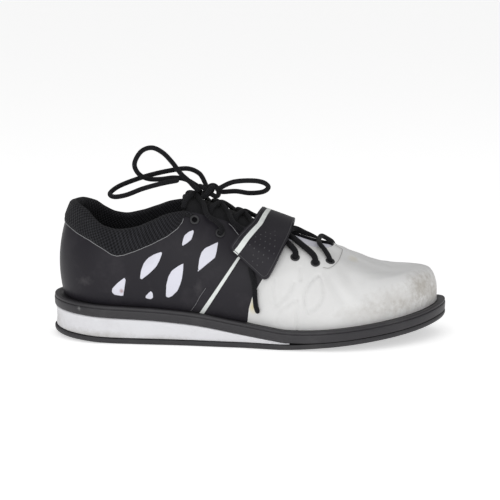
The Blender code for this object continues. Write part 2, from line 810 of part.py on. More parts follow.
def crossing_path(k, inner):
    """Lace of one side: out of its eyelet, over the edge of the throat,
    across the tongue and up to the other edge, where it goes under."""
    a0, r0 = EYELETS[k]
    a1 = a0 + (EYELETS[k + 1][0] - a0) * 0.66
    side = (lambda a: 360.0 - a) if inner else (lambda a: a)
    foot = outside(side(a0), r0 + 0.01, CLEAR)
    half = outside(side(a0), 0.5 + r0 * 0.5, CLEAR + 0.4)
    edge = outside(side(a0 + 0.6), 0.985, CLEAR + 0.7)
    near = over_throat((a0 * 2 + a1) / 3.0, 0.75 if inner else 0.25, 0.5)
    mid = over_throat((a0 + a1) / 2.0, 0.5, 0.1)
    far = over_throat(a1, 0.2 if inner else 0.8, 0.1)
    return [foot, half, edge, near, mid, far]


def joined_laces(name, one, two):
    first = mesh_object(name, *round_shell(one, LACE / 2.0), "black_lace")
    second = mesh_object(name + "_join", *round_shell(two, LACE / 2.0),
                         "black_lace")
    mod = first.modifiers.new("join", "BOOLEAN")
    mod.operation = "UNION"
    mod.solver = "EXACT"
    mod.object = second
    second.hide_render = True
    second.display_type = "WIRE"


def build_crossings():
    # the front bar runs straight across between the first two eyelets
    a0, r0 = EYELETS[0]
    bar = [outside(a0, r0 + 0.01, CLEAR), outside(a0 - 2.0, 0.88, CLEAR),
           outside(a0 - 5.0, 0.985, CLEAR + 0.5),
           over_throat(a0 - 6.0, 0.5, 0.8),
           outside(365.0 - a0, 0.985, CLEAR + 0.5),
           outside(362.0 - a0, 0.88, CLEAR),
           outside(360.0 - a0, r0 + 0.01, CLEAR)]
    mesh_object("lace_bar", *round_shell(smooth_path(bar, 11), LACE / 2.0),
                "black_lace")
    for k in range(1, len(EYELETS) - 1):
        joined_laces("lace_cross_%d" % k,
                     smooth_path(crossing_path(k, False), 9),
                     smooth_path(crossing_path(k, True), 9))


# Free lace: chosen points of each run, in millimetres.
KNOT = ((-30.0, -1.0, 107.7), (8.5, 7.5, 5.2))     # middle, half sizes


def on_knot(dx, dy, dz):
    """Two points that leave the knot squarely in one direction."""
    (cx, cy, cz), (rx, ry, rz) = KNOT
    size = math.sqrt(dx * dx + dy * dy + dz * dz)
    u, v, w = dx / size, dy / size, dz / size
    near = (cx + rx * u * 1.045, cy + ry * v * 1.045, cz + rz * w * 1.045)
    n = np.array([u / rx, v / ry, w / rz])
    n = n / np.linalg.norm(n) * 3.0
    return near, (near[0] + n[0], near[1] + n[1], near[2] + n[2])


LOOP_BACK = on_knot(-0.8, -0.5, 0.33) + (
    (-44.0, -8.5, 116.5), (-49.5, -8.5, 121.5),
    (-56.0, -8.5, 130.0), (-63.0, -8.0, 137.0), (-71.0, -8.0, 140.5),
    (-79.0, -7.5, 137.5), (-84.0, -7.0, 128.5), (-81.5, -5.5, 121.0),
    (-75.0, -3.0, 116.8), (-66.0, 0.0, 116.0), (-56.0, 3.0, 116.8),
    (-47.5, 3.5, 115.6),
) + on_knot(-0.85, 0.35, 0.4)[::-1]
LOOP_FRONT = on_knot(0.8, -0.5, 0.35) + (
    (-11.0, -9.5, 116.0), (2.0, -11.5, 117.5),
    (11.0, -9.5, 116.0), (14.5, -3.0, 111.5), (10.0, 3.5, 107.0),
    (0.0, 5.5, 105.6), (-10.0, 4.5, 107.0),
) + on_knot(0.9, 0.35, -0.1)[::-1]
END_BACK = on_knot(-0.3, 0.85, 0.5) + (
    (-38.0, 11.0, 119.0), (-47.0, 11.5, 122.5),
    (-60.0, 10.5, 121.0), (-75.0, 10.0, 117.5), (-88.0, 7.0, 113.5),
    (-98.0, 3.0, 109.5), (-103.0, -3.5, 105.5), (-99.0, -10.0, 104.0),
    (-89.5, -13.0, 106.0), (-77.0, -14.0, 111.0), (-63.0, -14.0, 115.0),
    (-52.0, -13.5, 117.2),
)
# The other end hangs out below the flap: angle and rise on the upper.
END_FRONT = ((88.2, 0.50), (87.6, 0.42), (87.1, 0.33), (87.0, 0.24),
             (86.8, 0.16), (86.4, 0.11))


def build_knot():
    (cx, cy, cz), (rx, ry, rz) = KNOT
    pts, fcs = [(cx, cy, cz - rz)], []
    rows, cols = 6, 12
    for i in range(1, rows):
        for j in range(cols):
            p, q = math.pi * i / rows, 2.0 * math.pi * j / cols
            pts.append((cx + rx * math.sin(p) * math.cos(q),
                        cy + ry * math.sin(p) * math.sin(q),
                        cz - rz * math.cos(p)))
    pts.append((cx, cy, cz + rz))
    last = len(pts) - 1
    for j in range(cols):
        k = (j + 1) % cols
        fcs.append((0, 1 + k, 1 + j))
        fcs.append((last, last - cols + j, last - cols + k))
        for i in range(rows - 2):
            a = 1 + i * cols
            fcs.append((a + j, a + k, a + cols + k, a + cols + j))
    return mesh_object("lace_knot", pts, fcs, "black_lace")


def cord(name, points, count):
    """Round lace as a curve through evenly spread points."""
    path = smooth_path(points, count)
    curve = bpy.data.curves.new(name, "CURVE")
    curve.dimensions = "3D"
    curve.bevel_depth = LACE / 2.0 * MM
    curve.bevel_resolution = 2
    curve.use_fill_caps = True
    spline = curve.splines.new("POLY")
    spline.points.add(len(path) - 1)
    for point, at in zip(spline.points, path):
        point.co = (at[0] * MM, at[1] * MM, at[2] * MM, 1.0)
    obj = bpy.data.objects.new(name, curve)
    bpy.context.scene.collection.objects.link(obj)
    obj.data.materials.append(material("black_lace"))
    return obj


build_outsole()
build_wedge()
build_midsole()
build_upper()
build_insole()
build_tongue()
build_strap()
build_crossings()
build_knot()
cord("lace_loop_back", LOOP_BACK, 22)
cord("lace_loop_front", LOOP_FRONT, 14)
cord("lace_end_back", END_BACK, 24)
cord("lace_end_front", [outside(a, r, CLEAR) for a, r in END_FRONT], 7)
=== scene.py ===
# %% [markdown]
# # A weightlifting shoe, dressed for its picture
# The shoe's working model comes first and stays where it is.  Everything
# below lays finished skins over it: a shell for the upper, the smooth
# black rear panel with its petal windows, a padded collar, the sole's
# three layers, a tongue, a broad strap and the round laces.
# We load the frame.  The dressed shoe has to keep to the same size.

# %% Load the frame
import math

import bmesh
import bpy
import numpy as np
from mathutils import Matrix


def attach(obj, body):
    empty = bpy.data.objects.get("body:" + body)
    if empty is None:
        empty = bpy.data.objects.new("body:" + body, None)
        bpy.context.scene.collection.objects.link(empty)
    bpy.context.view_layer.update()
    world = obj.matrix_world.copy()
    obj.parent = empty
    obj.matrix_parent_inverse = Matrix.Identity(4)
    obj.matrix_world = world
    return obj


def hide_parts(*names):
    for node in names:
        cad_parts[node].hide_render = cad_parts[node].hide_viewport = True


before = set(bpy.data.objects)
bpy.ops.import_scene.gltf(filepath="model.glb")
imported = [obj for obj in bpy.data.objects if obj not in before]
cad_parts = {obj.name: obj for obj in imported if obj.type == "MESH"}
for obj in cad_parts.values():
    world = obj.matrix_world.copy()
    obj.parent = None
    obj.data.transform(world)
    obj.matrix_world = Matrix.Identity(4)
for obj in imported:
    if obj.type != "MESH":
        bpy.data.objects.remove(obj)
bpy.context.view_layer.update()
MM = 0.001
bpy.ops.object.select_all(action="DESELECT")

# %% [markdown]
# ## Camera
# The shoe was photographed from its outer side, a little from the front
# and from about ten degrees above, with a long lens.  A long lens far
# away keeps the lines of the sole nearly parallel, as in the picture.
# We turn the angles into a direction and step back along it.

# %% Camera
CAMERA_AROUND, CAMERA_ABOVE = 4.5, 10.6      # degrees
CAMERA_FAR = 1.5                             # metres
CAMERA_ANGLE = 14.1                          # degrees across the frame
LOOK_AT = (0.0007, 0.0, 0.0637)

around, above = math.radians(CAMERA_AROUND), math.radians(CAMERA_ABOVE)
away = (math.sin(around) * math.cos(above),
        -math.cos(around) * math.cos(above), math.sin(above))
bpy.ops.object.camera_add(
    location=[c + CAMERA_FAR * d for c, d in zip(LOOK_AT, away)],
    rotation=(math.pi / 2.0 - above, 0.0, around))
camera = bpy.context.object
camera.data.sensor_width = 36.0
camera.data.lens = 18.0 / math.tan(math.radians(CAMERA_ANGLE) / 2.0)
camera.data.clip_end = 20.0
bpy.context.scene.camera = camera

# %% [markdown]
# ## The shape of the foot, in tables
# A shoemaker shapes a shoe over a last.  Here the last is a few short
# tables: the plan of the sole, the lift of the toe, the wedge and the top
# line.  A smooth curve through each column gives every point between the
# rows, so the panels further down all follow one surface.

# %% Tables of the last
HALF_LENGTH = 146.0
OUTSOLE, BAND, GAP = 3.8, 8.7, 0.3
WALL, COLLAR_WALL, LEDGE, LACE = 2.0, 5.6, 6.4, 3.6
HEEL_ROUND, TOE_ROUND, SOLE_MIDDLE = 0.14, 0.30, -0.4
TOE_FROM, TOE_TO = 12.0, 66.0
PAD_AROUND, PAD_RISE = (104.0, 124.0), (0.55, 0.85)
BEDDED = 0.2      # how far the upper stands in the band's ledge

# share of length, middle line, half width
SOLE_PLAN = (
    (0.00, 0.0, 39.0),
    (0.14, 0.0, 41.5),
    (0.25, -1.0, 42.0),
    (0.36, -3.5, 41.0),
    (0.47, -6.0, 41.5),
    (0.57, -6.5, 45.5),
    (0.66, -4.0, 51.0),
    (0.74, -0.5, 54.0),
    (0.82, 3.5, 54.5),
    (0.90, 8.0, 53.0),
    (1.00, 14.0, 50.0),
)

# length, height of the underside
SPRING = (
    (-146.0, 3.1), (-132.0, 1.9), (-118.0, 1.1), (-106.0, 0.4), (-94.0, 0.0),
    (24.0, 0.0), (34.0, 0.4), (44.0, 1.1), (54.0, 2.0), (66.0, 3.1),
    (80.0, 4.5), (95.0, 6.2), (110.0, 7.9), (120.0, 9.3), (130.0, 11.0),
    (138.0, 12.8), (146.0, 14.8),
)

# length, thickness of the pale wedge
WEDGE = (
    (-146.0, 15.0), (-110.0, 14.8), (-75.0, 14.0), (-37.0, 11.2),
    (0.0, 5.4), (18.0, 2.8), (33.0, 0.9), (60.0, 0.0), (146.0, 0.0),
)
WEDGE_END = 33.0

# angle around, x, y, z of the top edge, sweep, fullness, bulge
TOP = (
    (0.0, 63.0, 3.0, 68.6, 80.0, 2.3, 0.0),
    (20.0, 62.2, -3.0, 68.5, 80.0, 2.3, 0.0),
    (40.0, 58.0, -9.0, 68.4, 80.0, 2.3, 0.5),
    (55.0, 49.5, -12.5, 69.4, 78.0, 2.2, 1.0),
    (68.0, 36.0, -15.5, 73.0, 72.0, 2.1, 1.5),
    (80.0, 17.0, -17.5, 79.2, 66.0, 2.0, 2.0),
    (92.0, -6.0, -19.5, 86.4, 60.0, 2.0, 2.0),
    (103.0, -29.0, -22.5, 93.2, 54.0, 2.0, 2.0),
    (111.0, -47.0, -26.0, 97.0, 48.0, 2.0, 2.0),
    (117.0, -58.0, -29.5, 95.2, 44.0, 2.0, 2.5),
    (123.0, -68.0, -32.5, 91.0, 38.0, 2.0, 3.0),
    (130.0, -80.0, -35.0, 86.4, 34.0, 2.0, 3.0),
    (137.0, -92.0, -35.5, 84.6, 30.0, 2.0, 3.0),
    (145.0, -103.5, -33.5, 86.6, 28.0, 2.0, 3.2),
    (153.0, -111.5, -29.0, 92.0, 27.0, 2.0, 3.6),
    (161.0, -118.0, -23.0, 98.6, 26.0, 2.0, 4.0),
    (170.0, -126.5, -13.5, 102.6, 25.0, 2.0, 4.4),
    (180.0, -130.5, 0.0, 103.2, 25.0, 2.0, 4.5),
)

# angle around, then what the inner side adds to x, y and z
INNER = (
    (0.0, 0.0, 6.0, 0.0), (40.0, 0.0, 5.0, 0.5), (80.0, -2.0, 2.0, 1.0),
    (111.0, -2.0, 0.0, 1.0), (130.0, -4.0, 0.0, 1.5), (145.0, 0.0, 0.0, 0.5),
    (180.0, 0.0, 0.0, 0.0),
)

# share of the way, of the run back and of the rise over the toe
TOE = (
    (0.0, 0.0, 0.0), (0.09, 0.0, 0.22), (0.18, 0.025, 0.43),
    (0.27, 0.085, 0.57), (0.38, 0.19, 0.60), (0.50, 0.31, 0.565),
    (0.60, 0.41, 0.56), (0.70, 0.53, 0.61), (0.80, 0.66, 0.69),
    (0.90, 0.82, 0.82), (1.0, 1.0, 1.0),
)

# %% [markdown]
# ## From tables to surfaces
# `through` draws a smooth curve that never overshoots its rows.
# `sole_edge` walks around the sole, 0 degrees at the toe and 90 on the
# outer side.  `skin` climbs from that edge to the top line: the wall
# first stands up, then leans over the foot, and over the toes it follows
# its own profile.  `inside` and `outside` move along the surface's normal.

# %% Surfaces of the last
def smooth(low, high, value):
    """Ease from 0 to 1 between low and high."""
    t = np.clip((np.asarray(value, float) - low) / (high - low), 0.0, 1.0)
    return t * t * (3.0 - 2.0 * t)


def through(rows, column, at):
    """Smooth monotone curve through one column of a table."""
    xs = np.array([r[0] for r in rows], float)
    ys = np.array([r[column] for r in rows], float)
    at = np.clip(np.asarray(at, float), xs[0], xs[-1])
    h = np.diff(xs)
    d = np.diff(ys) / h
    m = np.zeros(len(xs))
    m[0], m[-1] = d[0], d[-1]
    for i in range(1, len(xs) - 1):
        if d[i - 1] * d[i] > 0.0:
            w1 = 2.0 * h[i] + h[i - 1]
            w2 = h[i] + 2.0 * h[i - 1]
            m[i] = (w1 + w2) / (w1 / d[i - 1] + w2 / d[i])
    k = np.clip(np.searchsorted(xs, at, side="right") - 1, 0, len(h) - 1)
    t = (at - xs[k]) / h[k]
    return ((2 * t ** 3 - 3 * t ** 2 + 1) * ys[k]
            + (t ** 3 - 2 * t ** 2 + t) * h[k] * m[k]
            + (-2 * t ** 3 + 3 * t ** 2) * ys[k + 1]
            + (t ** 3 - t ** 2) * h[k] * m[k + 1])


def spring(x):
    return through(SPRING, 1, x)


def wedge_thickness(x):
    return through(WEDGE, 1, x)


def wedge_floor(x):
    return spring(x) + OUTSOLE + GAP


def band_floor(x):
    """Underside of the black band: on the wedge, then on the outsole."""
    t = wedge_thickness(x)
    return wedge_floor(x) + t + GAP * np.clip(t / 0.9, 0.0, 1.0)


def ledge_height(x):
    return band_floor(x) + BAND


def upper_foot(x):
    """Height where the upper meets the sole."""
    return ledge_height(x) - BEDDED


def above(height, lift):
    """A height curve moved up by lift millimetres."""
    return lambda x: height(x) + lift


def sole_edge(around, inset):
    """Point of the sole's plan at an angle in degrees, 0 at the toe and
    90 on the outer side, moved inwards by inset."""
    def raw(a):
        c = np.cos(np.radians(a))
        share = (1.0 + c) / 2.0
        side = np.where(np.sin(np.radians(a)) >= 0.0, -1.0, 1.0)
        heel = np.clip(1.0 - share / HEEL_ROUND, 0.0, 1.0)
        toe = np.clip(1.0 - (1.0 - share) / TOE_ROUND, 0.0, 1.0)
        close = np.sqrt(np.maximum(1.0 - heel ** 2, 0.0)) \
            * np.sqrt(np.maximum(1.0 - toe ** 2.2, 0.0))
        half = through(SOLE_PLAN, 2, share) * close
        middle = through(SOLE_PLAN, 1, share)
        return HALF_LENGTH * c, middle + side * half - SOLE_MIDDLE
    a = np.asarray(around, float)
    x, y = raw(a)
    step = 0.6
    x1, y1 = raw(a + step)
    x0, y0 = raw(a - step)
    tx, ty = x1 - x0, y1 - y0
    size = np.hypot(tx, ty)
    # the outline runs toe, outer side, heel, inner side, so its inward
    # normal is the tangent turned to the right
    return x + inset * ty / size, y - inset * tx / size


def fold(around):
    """Angle on the outer side that matches one on the inner side."""
    a = np.mod(np.asarray(around, float), 360.0)
    return np.where(a > 180.0, 360.0 - a, a), a > 180.0


def top_line(around):
    a, inner = fold(around)
    x = through(TOP, 1, a) + np.where(inner, through(INNER, 1, a), 0.0)
    y = through(TOP, 2, a)
    y = np.where(inner, -y + through(INNER, 2, a), y)
    z = through(TOP, 3, a) + np.where(inner, through(INNER, 3, a), 0.0)
    return x, y, z


def skin(around, rise):
    """Outer face of the upper: angle around in degrees, share of the way
    from the sole's edge to the top line."""
    around = np.asarray(around, float)
    rise = np.asarray(rise, float)
    around, rise = np.broadcast_arrays(around, rise)
    a, _ = fold(around)
    fx, fy = sole_edge(around, LEDGE)
    fz = upper_foot(fx)
    tx, ty, tz = top_line(around)
    sweep = np.radians(through(TOP, 4, a))
    full = 2.0 / through(TOP, 5, a)
    turn = rise * sweep
    back = (1.0 - np.cos(turn) ** full) / (1.0 - np.cos(sweep) ** full)
    up = np.sin(turn) ** full / np.sin(sweep) ** full
    toe = 1.0 - smooth(TOE_FROM, TOE_TO, a)
    back = back + (through(TOE, 1, rise) - back) * toe
    up = up + (through(TOE, 2, rise) - up) * toe
    bulge = through(TOP, 6, a) * 4.0 * rise * (1.0 - rise)
    ox, oy = sole_edge(around, LEDGE - 1.0)
    ox, oy = ox - fx, oy - fy
    x = fx + (tx - fx) * back + ox * bulge
    y = fy + (ty - fy) * back + oy * bulge
    z = fz + (tz - fz) * up
    return np.stack([x, y, z], axis=-1)


def skin_normal(around, rise):
    """Outward normal of that face."""
    around = np.asarray(around, float)
    rise = np.asarray(rise, float)
    da, dr = 1.0, 0.01
    lo, hi = np.clip(rise - dr, 0.0, 1.0), np.clip(rise + dr, 0.0, 1.0)
    t = skin(around + da, rise) - skin(around - da, rise)
    u = skin(around, hi) - skin(around, lo)
    n = np.cross(u, t)
    return n / np.linalg.norm(n, axis=-1, keepdims=True)


def wall(around, rise):
    """Thickness of the upper: thin everywhere, padded at the collar."""
    a, _ = fold(around)
    pad = smooth(*PAD_AROUND, a) * smooth(*PAD_RISE, rise)
    return WALL + (COLLAR_WALL - WALL) * pad


def inside(around, rise, extra=0.0):
    """Inner face of the upper, or a face further in by extra."""
    depth = wall(around, rise) + extra
    n = skin_normal(around, rise)
    return skin(around, rise) - n * depth[..., None]


def outside(around, rise, extra):
    return skin(around, rise) + skin_normal(around, rise) * extra


# %% [markdown]
# ## Tools for sheets
# Leather panels are cut from flat hides and pulled over the last.  We do
# the same with a fine grid on the surface: `keep` is a number at each grid
# point, above zero where the panel has material, and the grid is trimmed
# exactly along the zero line, so cut edges and petal holes stay smooth.

# %% Grid, trimming and thickness
def select_only(obj):
    bpy.ops.object.select_all(action="DESELECT")
    obj.select_set(True)
    bpy.context.view_layer.objects.active = obj


def apply_modifier(obj, kind, **values):
    """Add a modifier by operator, set it and apply it."""
    select_only(obj)
    bpy.ops.object.modifier_add(type=kind)
    mod = obj.modifiers[-1]
    for key, value in values.items():
        setattr(mod, key, value)
    bpy.ops.object.modifier_apply(modifier=mod.name)


def finish_piece(obj, *nodes, angle):
    """Shade it smooth, let it ride on the shoe and stand for its nodes."""
    select_only(obj)
    bpy.ops.object.shade_smooth_by_angle(angle=math.radians(angle))
    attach(obj, "root")
    if nodes:
        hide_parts(*nodes)
    print(obj.name, len(obj.data.polygons), "faces")
    return obj


def new_object(name, points, faces, uv=None, marks=None):
    """Mesh object from millimetre points; uv and marks are per point."""
    mesh = bpy.data.meshes.new(name)
    mesh.from_pydata((np.asarray(points) * MM).tolist(), [], faces)
    if uv is not None:
        layer = mesh.uv_layers.new(name="UVMap")
        index = np.empty(len(mesh.loops), dtype=np.int32)
        mesh.loops.foreach_get("vertex_index", index)
        layer.data.foreach_set(
            "uv", np.asarray(uv, np.float32)[index].ravel())
    for key, values in (marks or {}).items():
        attribute = mesh.attributes.new(key, "FLOAT", "POINT")
        attribute.data.foreach_set("value", np.asarray(values, np.float32))
    mesh.update()
    obj = bpy.data.objects.new(name, mesh)
    bpy.context.scene.collection.objects.link(obj)
    return obj


def mend_normals(obj):
    """Merge doubles and turn every face outwards."""
    bm = bmesh.new()
    bm.from_mesh(obj.data)
    bmesh.ops.remove_doubles(bm, verts=bm.verts, dist=1e-6)
    bmesh.ops.recalc_face_normals(bm, faces=bm.faces)
    if bm.calc_volume(signed=True) < 0.0:
        bmesh.ops.reverse_faces(bm, faces=bm.faces)
    bm.to_mesh(obj.data)
    bm.free()


def turn_together(obj):
    """Make the faces of an open sheet agree on one side."""
    select_only(obj)
    bpy.ops.object.mode_set(mode="EDIT")
    bpy.ops.mesh.select_all(action="SELECT")
    bpy.ops.mesh.normals_make_consistent(inside=False)
    bpy.ops.object.mode_set(mode="OBJECT")


def running_length(points):
    """Length run along a path up to each of its points."""
    steps = np.linalg.norm(np.diff(points, axis=0), axis=-1)
    return np.concatenate([[0.0], np.cumsum(steps)])


def grid_faces(rows, columns, closed=False):
    faces = []
    for i in range(rows - 1):
        for j in range(columns if closed else columns - 1):
            k = (j + 1) % columns
            faces.append((i * columns + j, (i + 1) * columns + j,
                          (i + 1) * columns + k, i * columns + k))
    return faces


def trimmed(points, keep, uv):
    """Faces of a grid where keep is above zero, cut along its zero line."""
    flat, flat_uv = points.reshape(-1, 3), uv.reshape(-1, 2)
    value = keep.ravel()
    out, out_uv, faces, seen = [], [], [], {}

    def corner(i):
        if i not in seen:
            seen[i] = len(out)
            out.append(flat[i])
            out_uv.append(flat_uv[i])
        return seen[i]

    def crossing(i, j):
        key = (min(i, j), max(i, j))
        if key not in seen:
            t = value[key[0]] / (value[key[0]] - value[key[1]])
            seen[key] = len(out)
            out.append(flat[key[0]] + (flat[key[1]] - flat[key[0]]) * t)
            out_uv.append(flat_uv[key[0]]
                          + (flat_uv[key[1]] - flat_uv[key[0]]) * t)
        return seen[key]

    for face in grid_faces(*keep.shape):
        inside_now = [value[i] > 0.0 for i in face]
        if not any(inside_now):
            continue
        if all(inside_now):
            faces.append(tuple(corner(i) for i in face))
            continue
        ring = []
        for n, i in enumerate(face):
            j = face[(n + 1) % 4]
            if value[i] > 0.0:
                ring.append(corner(i))
            if (value[i] > 0.0) != (value[j] > 0.0):
                ring.append(crossing(i, j))
        if len(ring) > 2:
            faces.append(tuple(ring))
    return np.array(out), faces, np.array(out_uv)


def distance_segment(p, q, x, z):
    """Distance to the straight line between two points."""
    d = q - p
    t = np.clip(((x - p[0]) * d[0] + (z - p[1]) * d[1])
                / max(d @ d, 1e-9), 0.0, 1.0)
    return np.hypot(x - p[0] - t * d[0], z - p[1] - t * d[1])


def distance_inside(polygon, x, z):
    """Signed distance to a closed outline, above zero inside it."""
    poly = np.array(polygon, float)
    x, z = np.asarray(x, float), np.asarray(z, float)
    best = np.full(x.shape, 1e9)
    odd = np.zeros(x.shape, bool)
    for p, q in zip(poly, np.roll(poly, -1, axis=0)):
        best = np.minimum(best, distance_segment(p, q, x, z))
        if p[1] != q[1]:
            cross = (p[1] > z) != (q[1] > z)
            at = (q[0] - p[0]) * (z - p[1]) / (q[1] - p[1]) + p[0]
            odd ^= cross & (x < at)
    return np.where(odd, best, -best)


def distance_line(line, x, z):
    """Distance to an open line."""
    best = np.full(np.shape(x), 1e9)
    pts = np.array(line, float)
    for p, q in zip(pts[:-1], pts[1:]):
        best = np.minimum(best, distance_segment(p, q, x, z))
    return best


# %% [markdown]
# ## Finishes that several materials share
# Wear on a shoe is never even.  Four small shader groups carry it: `grain`
# is the fine tooth of a synthetic hide, `cloud` mottles a colour with a
# second one, `spot` is a soft patch round one place, and `weave` crosses
# two sets of threads.  Each material sets its own sizes and amounts.

# %% Shader groups
def new_group(name, inputs, outputs):
    group = bpy.data.node_groups.new(name, "ShaderNodeTree")
    for label, kind, value in inputs:
        socket = group.interface.new_socket(
            name=label, in_out="INPUT", socket_type=kind)
        socket.default_value = value
    for label, kind in outputs:
        group.interface.new_socket(name=label, in_out="OUTPUT",
                                   socket_type=kind)
    ways_in = group.nodes.new("NodeGroupInput")
    ways_out = group.nodes.new("NodeGroupOutput")
    return group, ways_in, ways_out


def feed(tree, value, socket):
    """Link another socket to this one, or set a plain value."""
    if isinstance(value, bpy.types.NodeSocket):
        tree.links.new(value, socket)
    else:
        socket.default_value = value


def math_node(tree, operation, *values, clamp=False):
    node = tree.nodes.new("ShaderNodeMath")
    node.operation = operation
    node.use_clamp = clamp
    for socket, value in zip(node.inputs, values):
        feed(tree, value, socket)
    return node.outputs[0]


def vector_node(tree, operation, *values):
    node = tree.nodes.new("ShaderNodeVectorMath")
    node.operation = operation
    for socket, value in zip(node.inputs, values):
        feed(tree, value, socket)
    return node.outputs


def mix_colour(tree, amount, first, second):
    node = tree.nodes.new("ShaderNodeMix")
    node.data_type = "RGBA"
    for number, value in ((0, amount), (6, first), (7, second)):
        feed(tree, value, node.inputs[number])
    return node.outputs[2]


def noise(tree, vector, scale, detail, rough):
    node = tree.nodes.new("ShaderNodeTexNoise")
    for label, value in (("Vector", vector), ("Scale", scale),
                         ("Detail", detail), ("Roughness", rough)):
        feed(tree, value, node.inputs[label])
    return node.outputs["Fac"]


def place(tree):
    return tree.nodes.new("ShaderNodeTexCoord").outputs["Object"]


def make_grain():
    group, i, o = new_group(
        "grain", [("Size", "NodeSocketFloat", 900.0)],
        [("Height", "NodeSocketFloat")])
    at = place(group)
    cells = group.nodes.new("ShaderNodeTexVoronoi")
    group.links.new(at, cells.inputs["Vector"])
    group.links.new(i.outputs["Size"], cells.inputs["Scale"])
    fine = noise(group, at, math_node(group, "MULTIPLY",
                                      i.outputs["Size"], 2.3), 3.0, 0.55)
    both = math_node(group, "MULTIPLY_ADD", cells.outputs["Distance"],
                     0.6, math_node(group, "MULTIPLY", fine, 0.5))
    group.links.new(both, o.inputs["Height"])
    return group


def make_cloud():
    group, i, o = new_group(
        "cloud", [("Colour", "NodeSocketColor", (1, 1, 1, 1)),
                  ("Second", "NodeSocketColor", (1, 1, 1, 1)),
                  ("Size", "NodeSocketFloat", 30.0),
                  ("From", "NodeSocketFloat", 0.5),
                  ("To", "NodeSocketFloat", 0.75),
                  ("Amount", "NodeSocketFloat", 0.5)],
        [("Colour", "NodeSocketColor"), ("Mask", "NodeSocketFloat")])
    field = noise(group, place(group), i.outputs["Size"], 6.0, 0.6)
    span = group.nodes.new("ShaderNodeMapRange")
    group.links.new(field, span.inputs["Value"])
    group.links.new(i.outputs["From"], span.inputs["From Min"])
    group.links.new(i.outputs["To"], span.inputs["From Max"])
    mask = math_node(group, "MULTIPLY", span.outputs["Result"],
                     i.outputs["Amount"], clamp=True)
    group.links.new(mix_colour(group, mask, i.outputs["Colour"],
                               i.outputs["Second"]), o.inputs["Colour"])
    group.links.new(mask, o.inputs["Mask"])
    return group


def make_spot():
    group, i, o = new_group(
        "spot", [("Centre", "NodeSocketVector", (0, 0, 0)),
                 ("Stretch", "NodeSocketVector", (1, 1, 1)),
                 ("Radius", "NodeSocketFloat", 0.01),
                 ("Broken", "NodeSocketFloat", 0.5)],
        [("Mask", "NodeSocketFloat")])
    at = place(group)
    shift = vector_node(group, "SUBTRACT", at, i.outputs["Centre"])[0]
    scaled = vector_node(group, "MULTIPLY", shift, i.outputs["Stretch"])[0]
    length = vector_node(group, "LENGTH", scaled)["Value"]
    share = math_node(group, "DIVIDE", length, i.outputs["Radius"])
    tears = math_node(group, "SUBTRACT",
                      noise(group, at, 260.0, 5.0, 0.65), 0.5)
    depth = math_node(group, "MULTIPLY", i.outputs["Broken"], 3.0)
    ragged = math_node(group, "MULTIPLY_ADD", tears, depth, share)
    group.links.new(math_node(group, "SUBTRACT", 1.0, ragged, clamp=True),
                    o.inputs["Mask"])
    return group


def make_weave():
    group, i, o = new_group(
        "weave", [("Across", "NodeSocketFloat", 1.0),
                  ("Along", "NodeSocketFloat", 1.0)],
        [("Height", "NodeSocketFloat")])
    uv = group.nodes.new("ShaderNodeTexCoord").outputs["UV"]
    split = group.nodes.new("ShaderNodeSeparateXYZ")
    group.links.new(uv, split.inputs[0])
    u = math_node(group, "MULTIPLY", split.outputs["X"], i.outputs["Across"])
    v = math_node(group, "MULTIPLY", split.outputs["Y"], i.outputs["Along"])
    one = math_node(group, "SINE", math_node(group, "ADD", u, v))
    two = math_node(group, "SINE", math_node(group, "SUBTRACT", u, v))
    group.links.new(math_node(group, "MULTIPLY_ADD", math_node(
        group, "MULTIPLY", one, two), 0.5, 0.5), o.inputs["Height"])
    return group


GROUPS = {"grain": make_grain(), "cloud": make_cloud(),
          "spot": make_spot(), "weave": make_weave()}


def add_group(tree, name, **values):
    node = tree.nodes.new("ShaderNodeGroup")
    node.node_tree = GROUPS[name]
    for key, value in values.items():
        feed(tree, value, node.inputs[key])
    return node.outputs


def new_material(name, colour, rough, **values):
    """Principled material; returns it, its tree and its shader."""
    mat = bpy.data.materials.new(name)
    mat.use_nodes = True
    mat.diffuse_color = colour
    shader = mat.node_tree.nodes["Principled BSDF"]
    shader.inputs["Base Color"].default_value = colour
    shader.inputs["Roughness"].default_value = rough
    for key, value in values.items():
        shader.inputs[key.replace("_", " ")].default_value = value
    return mat, mat.node_tree, shader


def bump(tree, shader, height, strength, distance):
    node = tree.nodes.new("ShaderNodeBump")
    node.inputs["Strength"].default_value = strength
    node.inputs["Distance"].default_value = distance
    tree.links.new(height, node.inputs["Height"])
    tree.links.new(node.outputs["Normal"], shader.inputs["Normal"])


# %% [markdown]
# ## Materials
# The rear panel is a smooth matte synthetic, nearly black, with a soft
# sheen and pale rub marks.  The front is white and picks up grey dirt
# round the toe.  Under the petal windows lies a cool, pale layer.  Sole
# and wedge are rubber and hard plastic.

# %% Wear, gloss and grain of one material
def add_marks(tree, colour, marks, broken):
    """Lay stains over a colour: place, size, stretch, strength and tone."""
    for centre, radius, stretch, amount, tone in marks:
        mask = add_group(tree, "spot", Centre=centre, Radius=radius,
                         Stretch=stretch, Broken=broken)["Mask"]
        colour = mix_colour(tree, math_node(tree, "MULTIPLY", mask, amount),
                            colour, tone)
    return colour


def wear(tree, shader, colour, second, size, span, amount, marks=(),
         broken=0.45):
    """Mottle a colour and mark it; returns where it is mottled."""
    cloud = add_group(tree, "cloud", Colour=colour, Second=second, Size=size,
                      From=span[0], To=span[1], Amount=amount)
    tree.links.new(add_marks(tree, cloud["Colour"], marks, broken),
                   shader.inputs["Base Color"])
    return cloud["Mask"]


def dull(tree, shader, mask, change, base):
    """Take the gloss off where the colour is mottled."""
    tree.links.new(math_node(tree, "MULTIPLY_ADD", mask, change, base),
                   shader.inputs["Roughness"])


